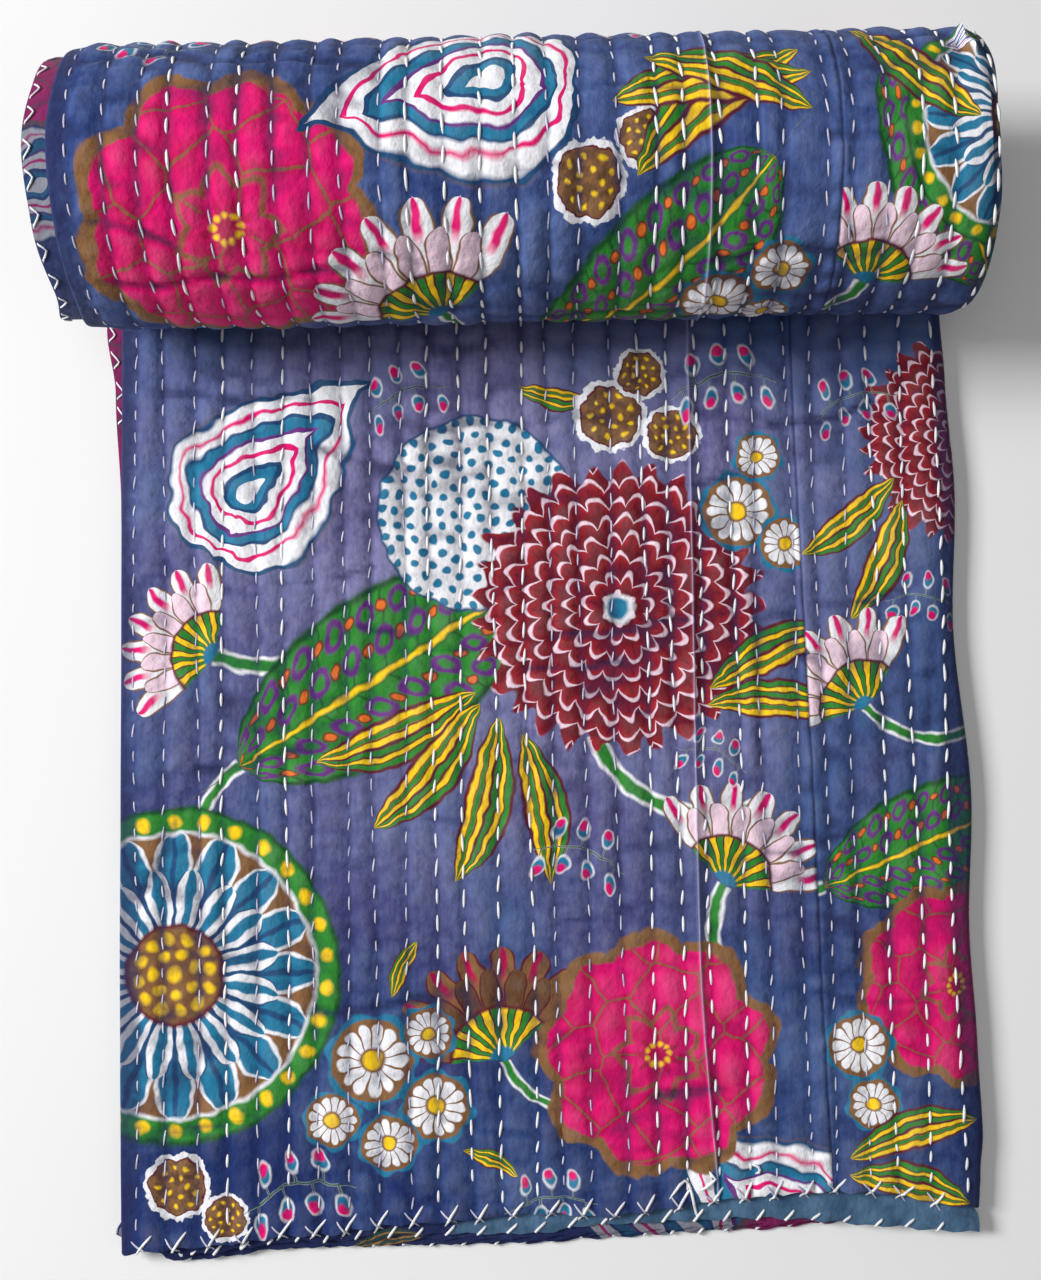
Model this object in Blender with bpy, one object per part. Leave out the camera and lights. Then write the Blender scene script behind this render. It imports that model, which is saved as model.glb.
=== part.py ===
"""Kantha quilt, folded lengthwise into a long bundle and rolled up on its own tail.

Metres, +Z up. The bundle lies along Y: its hemmed tail points to -Y, and the roll sits at
+Y on top of it. The origin is under the middle of the bounding box, on the surface.

The quilt is one cloth. Across its width it is folded back and forth into five layers.
Seen from the tail's end, with -X at the left, the folds lie like this:

      (= 5 ==============================.
      (= 4 ==========================     )
      == 3 ==========================.    )  spine
      (= 2 ==========================.    )
      (= 1 ==============================.

Layer 3 starts with a side hem at the left, where it sticks out a little, and turns down
into layer 2 at the right. Layer 4 ends with the other side hem at the right, inside the
spine, which is the outer fold from layer 1 to layer 5. That section is swept along the
flat tail and round the roll, so layer 5 is the top of the tail, and layer 1 is the outside
of the roll.
"""
import math
from collections import namedtuple

import bmesh
import bpy

# ---------------------------------------------------------------- cloth and bundle
CLOTH = 0.0019              # thickness of the stitched cloth
LAYER_GAP = 0.00045         # air between two layers
LAYERS = 5
LAYER_PITCH = CLOTH + LAYER_GAP
HALF_CLOTH = CLOTH / 2
BUNDLE = LAYERS * CLOTH + (LAYERS - 1) * LAYER_GAP
MIDDLE_LEVEL = (LAYERS - 1) / 2 * LAYER_PITCH   # levels count up from layer 1's middle
FOLD_RADIUS = LAYER_PITCH / 2           # middle of the cloth round a fold of two layers
SPINE_RADIUS = MIDDLE_LEVEL             # middle of the cloth round the outer fold
FOLD_REACH = FOLD_RADIUS + HALF_CLOTH   # from a fold's centre to its outermost point
SPINE_REACH = SPINE_RADIUS + HALF_CLOTH

# ---------------------------------------------------------------- tail and roll
ROLL_CENTRE_Y = 0.352       # roll's axis
TAIL_START_Y = -0.2985      # nominal bottom hem, where lengths along the cloth start
ROLL_RADIUS = 0.082         # from the axis to the bundle's middle, where it leaves the floor
TURN_PITCH = 0.0126         # how much the radius loses in one turn
WIDER = 1.02                # the roll sags a little under its own weight
LOWER = 0.98
ROLL_HEIGHT_OF_AXIS = LOWER * ROLL_RADIUS + BUNDLE / 2

# ---------------------------------------------------------------- quilting
ROW_COUNT = 28              # rows of running stitch across the bundle
FIRST_ROW_X = -0.2486
ROW_PITCH = 0.0194
ROW_WANDER = 0.0012         # how far a hand-sewn row strays to each side
RIDGE = 0.0016              # height of the puffed cloth between two rows
SWELL = 0.0012              # slow unevenness on top of that

# ---------------------------------------------------------------- steps of the sweep
TAIL_STEPS = 12
RIDGES_END = 0.028          # the tail's ridges stop this far before the roll's axis
FLAT_END = 0.010            # the last section of the tail, the same way
TurnSteps = namedtuple("TurnSteps", "steps_a_turn, steps")
ROLL_STEPS = (
    TurnSteps(24, 24),      # the outer turn
    TurnSteps(16, 40),
    TurnSteps(12, 28),      # the core
)

# Outermost X of each fold and free hem, by length along the cloth from the bottom hem.
Side = namedtuple("Side", "along, top_fold, low_fold, hem_left, spine, tight_fold, hem_right")
SIDES = (
    Side(0.000, -0.2590, -0.2575, -0.2560, 0.2860, 0.2760, 0.2770),
    Side(0.055, -0.2597, -0.2570, -0.2550, 0.2905, 0.2750, 0.2780),
    Side(0.110, -0.2600, -0.2560, -0.2550, 0.2895, 0.2740, 0.2785),
    Side(0.180, -0.2602, -0.2555, -0.2545, 0.2874, 0.2735, 0.2770),
    Side(0.270, -0.2597, -0.2560, -0.2555, 0.2925, 0.2745, 0.2775),
    Side(0.380, -0.2592, -0.2570, -0.2580, 0.2855, 0.2750, 0.2765),
    Side(0.470, -0.2590, -0.2575, -0.2600, 0.2903, 0.2745, 0.2780),
    Side(0.545, -0.2586, -0.2580, -0.2636, 0.2870, 0.2740, 0.2765),
    Side(0.590, -0.2586, -0.2585, -0.2694, 0.2852, 0.2735, 0.2750),
    Side(0.650, -0.2590, -0.2590, -0.2730, 0.2840, 0.2730, 0.2740),
    Side(0.850, -0.2600, -0.2598, -0.2735, 0.2822, 0.2720, 0.2720),
    Side(0.895, -0.2610, -0.2618, -0.2765, 0.2795, 0.2710, 0.2700),
    Side(0.940, -0.2605, -0.2605, -0.2743, 0.2826, 0.2720, 0.2715),
    Side(0.985, -0.2600, -0.2595, -0.2712, 0.2832, 0.2725, 0.2725),
    Side(1.035, -0.2610, -0.2640, -0.2800, 0.2840, 0.2715, 0.2720),
    Side(1.150, -0.2600, -0.2620, -0.2740, 0.2815, 0.2710, 0.2705),
    Side(1.400, -0.2570, -0.2590, -0.2700, 0.2850, 0.2740, 0.2745),
    Side(1.650, -0.2620, -0.2600, -0.2720, 0.2800, 0.2690, 0.2700),
    Side(1.900, -0.2580, -0.2570, -0.2690, 0.2840, 0.2735, 0.2725),
    Side(2.100, -0.2610, -0.2600, -0.2735, 0.2810, 0.2700, 0.2705),
    Side(2.350, -0.2570, -0.2560, -0.2680, 0.2845, 0.2740, 0.2735),
)

# Where the bottom hem ends, by X: layer 5, layer 4, and the layers below them.
Hem = namedtuple("Hem", "x, top, second, low")
BOTTOM_HEM = (
    Hem(-0.259, -0.3064, -0.3064, -0.3095),
    Hem(-0.225, -0.3035, -0.3078, -0.3116),
    Hem(-0.146, -0.2971, -0.3015, -0.3070),
    Hem(-0.063, -0.2909, -0.2989, -0.3075),
    Hem(0.006, -0.2868, -0.2997, -0.3077),
    Hem(0.044, -0.2888, -0.2950, -0.3050),
    Hem(0.146, -0.2792, -0.2928, -0.3020),
    Hem(0.192, -0.2765, -0.2962, -0.2990),
    Hem(0.224, -0.2784, -0.3000, -0.2968),
    Hem(0.266, -0.2867, -0.3039, -0.2985),
    Hem(0.290, -0.2905, -0.3043, -0.2905),
)
HEM_RECESS = 0.0030         # layers 2 and 3 step back from layer 1 by this and twice this
HEM_POINT_EVERY = 4         # a hidden layer's hem has a point at each of so many ridge points

# A point's place along the cloth, side hem to side hem: whole numbers are where a layer
# or a fold starts.
LAYER_3, TIGHT_FOLD, LAYER_2, LOW_FOLD, LAYER_1, SPINE, LAYER_5, TOP_FOLD, LAYER_4, END = range(10)
SAME_PLACE = 1e-6

SLATE = (0.082, 0.098, 0.190, 1.0)


def clamp(value):
    return min(1.0, max(0.0, value))


def ease(value):
    """A soft step from 0 to 1."""
    value = clamp(value)
    return value * value * (3 - 2 * value)


def read_table(rows, key, column):
    """The value of a named column, smoothly between the rows round the key."""
    before = rows[0]
    for after in rows:
        if getattr(after, rows[0]._fields[0]) >= key:
            break
        before = after
    low, high = before[0], after[0]
    share = ease((key - low) / (high - low)) if high > low else 0.0
    return getattr(before, column) * (1 - share) + getattr(after, column) * share


def swell(across, along):
    """Slow unevenness of cloth that lies by itself, from 0 to 1."""
    waves = math.sin(11 * across + 9 * along)
    waves += math.sin(29 * across - 14 * along + 1.3)
    waves += math.sin(37 * along + 17 * across + 0.6)
    return 0.5 + waves / 6


def row_x(row, along):
    """X of one row of stitches, which strays a little as sewn by hand."""
    straight = FIRST_ROW_X + row * ROW_PITCH
    return straight + ROW_WANDER * math.sin(13 * along + 2.4 * row)


def quilting(along, height):
    """(x, height) across the bundle: low on each row of stitches, high between rows."""
    points = []
    for row in range(ROW_COUNT):
        x = row_x(row, along)
        if row > 0:
            middle = (x + points[-1][0]) / 2
            puff = RIDGE * (0.8 + 0.2 * math.sin(41 * along + 1.9 * row))
            points.append((middle, height * (puff + SWELL * swell(middle, along))))
        points.append((x, height * SWELL * swell(x, along)))
    return points


def fold(centre, level_from, level_to, side, radius, steps, start):
    """Points round a fold, from one layer's face to the next one's."""
    middle = (level_from + level_to) / 2
    way = math.copysign(1.0, level_from - level_to)
    points = []
    for step in range(steps + 1):
        angle = math.pi * step / steps
        across = centre + side * radius * math.sin(angle)
        points.append((start + step / steps, across, middle + way * radius * math.cos(angle)))
    return points


def across(place, x_from, x_to, level, profile):
    """Points on a layer's face between its two ends, where the profile gives (x, rise)."""
    points = []
    for x, rise in profile:
        if min(x_from, x_to) < x < max(x_from, x_to):
            points.append((place + (x - x_from) / (x_to - x_from), x, level + rise))
    return sorted(points)


def section(along, ridges_on, height, extra_x=()):
    """The folded cloth cut across: its two faces as lists of (place, x, level).

    The quilting stands on one layer's shown face. Every other face has a point at each
    extra X, so that a hem can curve there.
    """
    side = {name: read_table(SIDES, along, name) for name in Side._fields[1:]}
    level = {layer: (layer - 1) * LAYER_PITCH for layer in range(1, LAYERS + 1)}
    tight_x = side["tight_fold"] - FOLD_REACH
    low_x = side["low_fold"] + FOLD_REACH
    spine_x = side["spine"] - SPINE_REACH
    top_x = side["top_fold"] + FOLD_REACH
    small, wide = FOLD_RADIUS - HALF_CLOTH, FOLD_REACH
    flat = [(x, 0.0) for x in extra_x]
    rows = quilting(along, height)
    under = [(x, -rise) for x, rise in rows] if ridges_on == "layer 1" else flat
    over = rows if ridges_on == "layer 5" else flat
    below_over = [(x, 0.0) for x, _ in rows] if extra_x else flat

    shown = [(LAYER_3, side["hem_left"], level[3] - HALF_CLOTH)]
    shown += across(LAYER_3, side["hem_left"], tight_x, level[3] - HALF_CLOTH, flat)
    shown += fold(tight_x, level[3], level[2], 1, small, 1, TIGHT_FOLD)
    shown += across(LAYER_2, tight_x, low_x, level[2] + HALF_CLOTH, flat)
    shown += fold(low_x, level[2], level[1], -1, wide, 3, LOW_FOLD)
    shown += across(LAYER_1, low_x, spine_x, level[1] - HALF_CLOTH, under)
    shown += fold(spine_x, level[1], level[5], 1, SPINE_REACH, 5, SPINE)
    shown += across(LAYER_5, spine_x, top_x, level[5] + HALF_CLOTH, over)
    shown += fold(top_x, level[5], level[4], -1, wide, 3, TOP_FOLD)
    shown += across(LAYER_4, top_x, side["hem_right"], level[4] - HALF_CLOTH, flat)
    shown.append((END, side["hem_right"], level[4] - HALF_CLOTH))

    hidden = [(LAYER_3, side["hem_left"], level[3] + HALF_CLOTH)]
    hidden += across(LAYER_3, side["hem_left"], tight_x, level[3] + HALF_CLOTH, flat)
    hidden += fold(tight_x, level[3], level[2], 1, wide, 3, TIGHT_FOLD)
    hidden += across(LAYER_2, tight_x, low_x, level[2] - HALF_CLOTH, flat)
    hidden += fold(low_x, level[2], level[1], -1, small, 1, LOW_FOLD)
    hidden += across(LAYER_1, low_x, spine_x, level[1] + HALF_CLOTH, flat)
    hidden += fold(spine_x, level[1], level[5], 1, SPINE_RADIUS - HALF_CLOTH, 3, SPINE)
    hidden += across(LAYER_5, spine_x, top_x, level[5] - HALF_CLOTH, below_over)
    hidden += fold(top_x, level[5], level[4], -1, small, 1, TOP_FOLD)
    hidden += across(LAYER_4, top_x, side["hem_right"], level[4] + HALF_CLOTH, flat)
    hidden.append((END, side["hem_right"], level[4] + HALF_CLOTH))
    return shown, hidden


def hem_y(place, x):
    """Where the bottom hem ends, at a place along the folded cloth."""
    if place > TOP_FOLD:
        return read_table(BOTTOM_HEM, x, "second")
    if place > SPINE:
        return read_table(BOTTOM_HEM, x, "top")
    steps_back = clamp(TIGHT_FOLD - place) + clamp(LOW_FOLD - place)
    return read_table(BOTTOM_HEM, x, "low") + HEM_RECESS * steps_back


def add_ring(mesh, faces, to_space):
    """Put both faces of a section into space: two rows of (place, vertex)."""
    return [[(place, mesh.verts.new(to_space(place, x, level))) for place, x, level in face]
            for face in faces]


def tail_ring(mesh, y, ridges_on):
    """A section of the flat tail. Near the hem it slants, so that it ends along the hem."""
    end_y = ROLL_CENTRE_Y - RIDGES_END
    share = clamp((y - TAIL_START_Y) / (end_y - TAIL_START_Y))

    def to_space(place, x, level):
        slanted = hem_y(place, x) * (1 - share) + end_y * share
        return x, max(slanted, y) if y > end_y else slanted, level + HALF_CLOTH

    along = y - TAIL_START_Y
    height = ease((end_y - y) / ROW_PITCH)
    rows = quilting(along, height)
    extra_x = [x for x, _ in rows[::HEM_POINT_EVERY]] if share == 0 else ()
    return add_ring(mesh, section(along, ridges_on, height, extra_x), to_space)


def roll_ring(mesh, turns, ridges_on):
    """A section of the roll, in a plane across the spiral."""
    angle = 2 * math.pi * turns
    radius = ROLL_RADIUS - TURN_PITCH * turns
    middle_y = ROLL_CENTRE_Y + WIDER * radius * math.sin(angle)
    middle_z = ROLL_HEIGHT_OF_AXIS - LOWER * radius * math.cos(angle)
    inward_y, inward_z = -LOWER * math.sin(angle), WIDER * math.cos(angle)
    size = math.hypot(inward_y, inward_z)
    inward_y, inward_z = inward_y / size, inward_z / size

    def to_space(place, x, level):
        depth = level - MIDDLE_LEVEL
        return x, middle_y + depth * inward_y, middle_z + depth * inward_z

    rolled = 2 * math.pi * turns * (ROLL_RADIUS - TURN_PITCH * turns / 2)
    along = ROLL_CENTRE_Y - TAIL_START_Y + rolled
    height = ease((turns - 0.05) / 0.06) * ease((0.95 - turns) / 0.06)
    return add_ring(mesh, section(along, ridges_on, height), to_space)


def skin(mesh, row, next_row):
    """Faces between two rows of (place, vertex) that may hold unlike numbers of points."""
    here = there = 0
    while here < len(row) - 1 or there < len(next_row) - 1:
        place = row[here + 1][0] if here < len(row) - 1 else math.inf
        next_place = next_row[there + 1][0] if there < len(next_row) - 1 else math.inf
        corners = [row[here][1]]
        if place <= next_place + SAME_PLACE:
            here += 1
            corners.append(row[here][1])
        if next_place <= place + SAME_PLACE:
            corners.append(next_row[there + 1][1])
        corners.append(next_row[there][1])
        if next_place <= place + SAME_PLACE:
            there += 1
        mesh.faces.new(corners)


def sweep(mesh, rings):
    """Skin the cloth's two faces and its two side hems from ring to ring, and both ends."""
    for ring, next_ring in zip(rings, rings[1:]):
        (shown, hidden), (next_shown, next_hidden) = ring, next_ring
        skin(mesh, shown, next_shown)
        skin(mesh, next_hidden, hidden)
        for end in (0, -1):
            mesh.faces.new((shown[end][1], next_shown[end][1], next_hidden[end][1], hidden[end][1]))
    for shown, hidden in (rings[0], rings[-1]):
        skin(mesh, shown, hidden)


def quilt_rings(mesh):
    """Every section of the quilt, from the bottom hem to the core of the roll."""
    rings = []
    end_y = ROLL_CENTRE_Y - RIDGES_END
    for step in range(TAIL_STEPS + 1):
        y = TAIL_START_Y + (end_y - TAIL_START_Y) * step / TAIL_STEPS
        rings.append(tail_ring(mesh, y, "layer 5"))
    rings.append(tail_ring(mesh, ROLL_CENTRE_Y - FLAT_END, None))
    turns = 0.0
    rings.append(roll_ring(mesh, turns, None))
    for part in ROLL_STEPS:
        for _ in range(part.steps):
            turns += 1 / part.steps_a_turn
            outer = turns < 1 - SAME_PLACE
            rings.append(roll_ring(mesh, turns, "layer 1" if outer else None))
    return rings


def centre_over_origin(mesh):
    """Move the quilt so that the middle of its bounding box is over the origin."""
    for axis in (0, 1):
        places = [vertex.co[axis] for vertex in mesh.verts]
        shift = (min(places) + max(places)) / 2
        for vertex in mesh.verts:
            vertex.co[axis] -= shift
        print("centred on axis", axis, "by", round(shift, 5))


def cotton():
    """Slate-blue cotton, matt and soft."""
    material = bpy.data.materials.new("cotton")
    material.use_nodes = True
    shader = material.node_tree.nodes["Principled BSDF"]
    shader.inputs["Base Color"].default_value = SLATE
    shader.inputs["Roughness"].default_value = 0.9
    shader.inputs["Metallic"].default_value = 0.0
    return material


def build_quilt(collection):
    mesh = bmesh.new()
    sweep(mesh, quilt_rings(mesh))
    bmesh.ops.recalc_face_normals(mesh, faces=mesh.faces)
    centre_over_origin(mesh)
    data = bpy.data.meshes.new("quilt")
    mesh.to_mesh(data)
    mesh.free()
    data.materials.append(cotton())
    collection.objects.link(bpy.data.objects.new("quilt", data))


def main():
    for leftover in list(bpy.data.objects):
        bpy.data.objects.remove(leftover, do_unlink=True)
    collection = bpy.data.collections.new("kantha_quilt")
    bpy.context.scene.collection.children.link(collection)
    build_quilt(collection)


main()
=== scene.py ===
# %% [markdown]
# # A kantha quilt, folded and rolled up on its own tail
#
# Kantha is thin printed cotton in a few layers, held together by rows of hand running
# stitch. This quilt is folded lengthwise into five layers, and the long bundle is rolled up
# until a flat tail is left in front of the roll. The lesson lays the cloth first, then the
# sewing, then the dye and print, and last the light and the camera.

# %% Load the frame
import bisect
import math
import random
from collections import namedtuple

import bpy
from mathutils import Matrix, Vector, noise


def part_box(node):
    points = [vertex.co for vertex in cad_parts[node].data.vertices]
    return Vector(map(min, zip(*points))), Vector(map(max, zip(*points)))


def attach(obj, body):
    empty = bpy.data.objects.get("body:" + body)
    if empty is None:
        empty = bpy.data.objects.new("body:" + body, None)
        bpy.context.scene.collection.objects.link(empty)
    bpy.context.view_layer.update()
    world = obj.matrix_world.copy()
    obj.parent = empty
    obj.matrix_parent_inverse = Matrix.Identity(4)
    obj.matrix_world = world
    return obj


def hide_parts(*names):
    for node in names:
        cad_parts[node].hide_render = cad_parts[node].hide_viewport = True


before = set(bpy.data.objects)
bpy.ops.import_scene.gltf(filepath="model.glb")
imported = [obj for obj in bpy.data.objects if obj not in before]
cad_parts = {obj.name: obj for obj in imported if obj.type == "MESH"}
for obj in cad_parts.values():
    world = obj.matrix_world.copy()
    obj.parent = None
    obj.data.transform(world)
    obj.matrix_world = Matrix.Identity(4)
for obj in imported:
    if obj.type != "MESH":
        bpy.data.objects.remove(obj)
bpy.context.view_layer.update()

low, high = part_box("quilt")
print("bundle on the floor:", [round(1000 * (b - a)) for a, b in zip(low, high)], "mm")

# %% [markdown]
# ## The cloth and its folds
#
# The real cloth is about 2 mm thick where it is quilted. Laid flat it would be 2.7 by 2.3 m.
# A simulation could fold such a sheet, but five layers in six turns would take far too long
# and would cross each other. A sweep is better here: one cut across the bundle is drawn
# with its five layers and four folds, and it is carried along the tail and round the roll.
# Layer 1 is at the bottom of the tail and outside on the roll. Layer 5 is on top of the
# tail. Layer 3 begins, and layer 4 ends, with a side hem.

# %% Sizes of the bundle
CLOTH = 0.0019              # thickness of the quilted cloth
LAYER_GAP = 0.00045         # air between two layers
LAYERS = 5
LAYER_PITCH = CLOTH + LAYER_GAP
HALF_CLOTH = CLOTH / 2
BUNDLE = LAYERS * CLOTH + (LAYERS - 1) * LAYER_GAP
MIDDLE_LEVEL = (LAYERS - 1) / 2 * LAYER_PITCH
FOLD_RADIUS = LAYER_PITCH / 2
FOLD_REACH = FOLD_RADIUS + HALF_CLOTH
SPINE_RADIUS = MIDDLE_LEVEL
SPINE_REACH = SPINE_RADIUS + HALF_CLOTH

ROLL_CENTRE_Y = 0.352       # places along the bundle are counted before it is centred
TAIL_START_Y = -0.2985
TAIL_LENGTH = ROLL_CENTRE_Y - TAIL_START_Y
ROLL_RADIUS = 0.082
TURN_PITCH = 0.0126
TURNS = 5 + 5 / 6
WIDER, LOWER = 1.02, 0.98   # the roll is a little wider than it is high
ROLL_HEIGHT_OF_AXIS = LOWER * ROLL_RADIUS + BUNDLE / 2
CENTRED = Vector((0.00602, 0.06467, 0.0))   # what centring took off every place

# %% [markdown]
# ### Where the folds and hems lie
#
# Nobody folds a quilt quite straight. Two short tables hold the outermost place of each fold
# and hem, read off every few centimetres, and a soft step joins the rows.

# %% Tables of folds and hems
def table(row_of, text):
    """Rows written as plain text: numbers, and words that start with a letter."""
    rows = [line.split() for line in text.strip().splitlines()]
    return tuple(row_of(*[cell if cell[0].isalpha() else float(cell) for cell in row])
                 for row in rows)


Side = namedtuple("Side", "along, top_fold, low_fold, hem_left, spine, tight_fold, hem_right")
SIDES = table(Side, """
    0.000 -0.2590 -0.2575 -0.2560 0.2860 0.2760 0.2850
    0.003 -0.2590 -0.2575 -0.2559 0.2862 0.2759 0.2852
    0.008 -0.2591 -0.2648 -0.2558 0.2867 0.2758 0.2850
    0.021 -0.2594 -0.2575 -0.2556 0.2877 0.2756 0.2790
    0.055 -0.2597 -0.2570 -0.2550 0.2905 0.2750 0.2780
    0.110 -0.2600 -0.2560 -0.2550 0.2895 0.2740 0.2785
    0.180 -0.2602 -0.2555 -0.2545 0.2874 0.2735 0.2770
    0.270 -0.2597 -0.2560 -0.2555 0.2925 0.2745 0.2775
    0.380 -0.2592 -0.2570 -0.2580 0.2855 0.2750 0.2765
    0.470 -0.2590 -0.2575 -0.2600 0.2903 0.2745 0.2780
    0.545 -0.2586 -0.2580 -0.2636 0.2870 0.2740 0.2765
    0.590 -0.2586 -0.2585 -0.2694 0.2852 0.2735 0.2750
    0.650 -0.2590 -0.2590 -0.2730 0.2840 0.2730 0.2740
    0.850 -0.2600 -0.2598 -0.2735 0.2822 0.2720 0.2720
    0.895 -0.2610 -0.2618 -0.2765 0.2795 0.2710 0.2700
    0.940 -0.2605 -0.2605 -0.2743 0.2826 0.2720 0.2715
    0.985 -0.2600 -0.2595 -0.2712 0.2832 0.2725 0.2725
    1.035 -0.2610 -0.2640 -0.2800 0.2840 0.2715 0.2720
    1.150 -0.2600 -0.2620 -0.2740 0.2815 0.2710 0.2705
    1.400 -0.2570 -0.2590 -0.2700 0.2850 0.2740 0.2745
    1.650 -0.2620 -0.2600 -0.2720 0.2800 0.2690 0.2700
    1.900 -0.2580 -0.2570 -0.2690 0.2840 0.2735 0.2725
    2.100 -0.2610 -0.2600 -0.2735 0.2810 0.2700 0.2705
    2.350 -0.2570 -0.2560 -0.2680 0.2845 0.2740 0.2735
""")

Hem = namedtuple("Hem", "x, top, second, low")
BOTTOM_HEM = table(Hem, """
    -0.259 -0.3064 -0.3058 -0.3040
    -0.240 -0.3048 -0.3046 -0.3040
    -0.231 -0.3040 -0.3084 -0.3124
    -0.218 -0.3030 -0.3084 -0.3128
    -0.146 -0.2971 -0.3015 -0.3070
    -0.063 -0.2909 -0.2989 -0.3075
    0.006 -0.2868 -0.2997 -0.3077
    0.044 -0.2888 -0.2950 -0.3050
    0.146 -0.2792 -0.2928 -0.3020
    0.192 -0.2765 -0.2962 -0.2990
    0.224 -0.2784 -0.3000 -0.2968
    0.266 -0.2867 -0.3039 -0.2985
    0.290 -0.2905 -0.3043 -0.2905
""")
HEM_RECESS = 0.0030


def clamp(value):
    return min(1.0, max(0.0, value))


def ease(value):
    """A soft step from 0 to 1."""
    value = clamp(value)
    return value * value * (3 - 2 * value)


def read_table(rows, key, column):
    """The value of a named column, smoothly between the rows round the key."""
    before = rows[0]
    for after in rows:
        if after[0] >= key:
            break
        before = after
    share = ease((key - before[0]) / (after[0] - before[0])) if after[0] > before[0] else 0.0
    return getattr(before, column) * (1 - share) + getattr(after, column) * share


print(len(SIDES), "rows for the sides and", len(BOTTOM_HEM), "for the bottom hem")

# %% [markdown]
# ### Hand quilting
#
# Each row of running stitch pulls a shallow valley into the cloth, and the cloth puffs up
# between the rows. Where the thread dives to the back, the valley rises a little, so the
# puffs look pinched at every stitch. A smooth noise field makes the short wrinkles and the
# slow swells, and the main creases are listed one by one, each with its own length, turn and
# depth. One function returns the height of all of it, and the stitches ask the same function
# later, so that they lie in their valleys.

# %% Rows of running stitch
random.seed(7)
ROW_COUNT = 28
FIRST_ROW_X = -0.2486
ROW_PITCH = 0.0194
ROW_WANDER = 0.0013
ROW_WAVE, ROW_LAG = 13, 2.4     # how fast a row strays, and how far the next one differs
STITCH_PITCH = 0.0170
STITCHED = 0.60             # share of the pitch where the thread is on top
ROW_SHIFT = [random.uniform(-0.0024, 0.0024) for _ in range(ROW_COUNT)]
ROW_PHASE = [random.uniform(0.0, 1.0) for _ in range(ROW_COUNT)]
ROW_STITCH = [STITCH_PITCH * random.uniform(0.94, 1.06) for _ in range(ROW_COUNT)]


def row_x(row, along):
    """X of one row of stitches, which strays a little as sewn by hand."""
    straight = FIRST_ROW_X + row * ROW_PITCH + ROW_SHIFT[row]
    return straight + ROW_WANDER * math.sin(ROW_WAVE * along + ROW_LAG * row)


def rows_at(along):
    return [row_x(row, along) for row in range(ROW_COUNT)]


def beat(row, along):
    """How far along its own pitch a row is, from 0 where a stitch starts to 1."""
    return (along / ROW_STITCH[row] + ROW_PHASE[row]) % 1.0


# %% Creases across the rows
Crease = namedtuple("Crease", "x, along, length, turn, depth, width")
CREASES = table(Crease, """
    -0.030 0.372 0.110 4 0.0018 0.0030
    0.062 0.381 0.120 7 0.0022 0.0034
    0.036 0.358 0.075 5 0.0015 0.0028
    -0.085 0.384 0.050 -6 0.0014 0.0026
    -0.180 0.540 0.130 -3 0.0018 0.0042
    -0.100 0.497 0.080 -14 0.0015 0.0034
    0.205 0.520 0.100 12 0.0017 0.0036
    0.130 0.480 0.060 16 0.0013 0.0028
    -0.125 0.420 0.085 9 0.0015 0.0030
    0.225 0.398 0.070 11 0.0016 0.0030
    0.110 0.322 0.090 -8 0.0014 0.0028
    -0.180 0.300 0.120 10 0.0018 0.0040
    -0.055 0.262 0.070 -5 0.0013 0.0026
    0.185 0.240 0.110 14 0.0016 0.0034
    -0.205 0.178 0.080 -9 0.0015 0.0030
    -0.105 0.142 0.120 6 0.0017 0.0036
    0.050 0.198 0.080 12 0.0014 0.0030
    0.215 0.142 0.090 -7 0.0015 0.0032
    0.120 0.088 0.100 9 0.0015 0.0034
    -0.030 0.066 0.090 -11 0.0014 0.0030
    -0.195 0.072 0.075 13 0.0014 0.0030
    -0.235 0.240 0.150 62 0.0016 0.0050
    0.262 0.310 0.170 84 0.0015 0.0050
    0.010 0.520 0.180 3 0.0015 0.0050
    -0.175 0.972 0.180 -3 0.0024 0.0040
    -0.215 0.944 0.070 18 0.0018 0.0034
    -0.085 0.958 0.085 8 0.0016 0.0034
    -0.130 0.846 0.130 4 0.0017 0.0030
    -0.215 0.838 0.085 -7 0.0017 0.0032
    0.065 0.872 0.110 2 0.0016 0.0030
    0.010 0.918 0.070 -9 0.0014 0.0030
    0.215 0.905 0.090 8 0.0016 0.0034
    0.155 0.962 0.100 -4 0.0017 0.0036
    0.232 0.835 0.075 -14 0.0017 0.0034
    0.010 0.812 0.150 3 0.0014 0.0034
    0.060 1.010 0.160 -5 0.0018 0.0040
    -0.160 1.045 0.130 7 0.0018 0.0040
    0.170 1.060 0.110 -9 0.0016 0.0040
    0.265 0.842 0.030 80 -0.0064 0.0038
""")
CREASE_FADE = 0.35          # share of its half length over which a crease runs out
CREASE_REACH = 2.8          # it is nothing this many widths off its line
LIPS = 1.3                  # how far off its line its raised lips stand
STRAY, STRAY_WAVE, OWN_WAVE = 0.5, 95, 400  # widths it strays, how fast, and differently for each


def crease_rise(x, along):
    """Troughs with raised lips, pressed in where the bundle was folded and pushed.

    A crease of negative depth is a ridge: the pinched tuck at the end of the roll.
    """
    rise = 0.0
    for crease in CREASES:
        up = along - crease.along
        if abs(up) > crease.length:
            continue
        turn = math.radians(crease.turn)
        right = x - crease.x
        end_share = abs(right * math.cos(turn) + up * math.sin(turn)) * 2 / crease.length
        waver = STRAY * math.sin(STRAY_WAVE * right + OWN_WAVE * crease.width)
        off = (up * math.cos(turn) - right * math.sin(turn)) / crease.width + waver
        if end_share < 1 and abs(off) < CREASE_REACH:
            fade = ease((1 - end_share) / CREASE_FADE)
            rise -= crease.depth * fade * (1 - off * off) * math.exp(-off * off / LIPS)
    return rise


print(len(CREASES), "creases, up to", 1000 * max(crease.depth for crease in CREASES), "mm deep")

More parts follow.
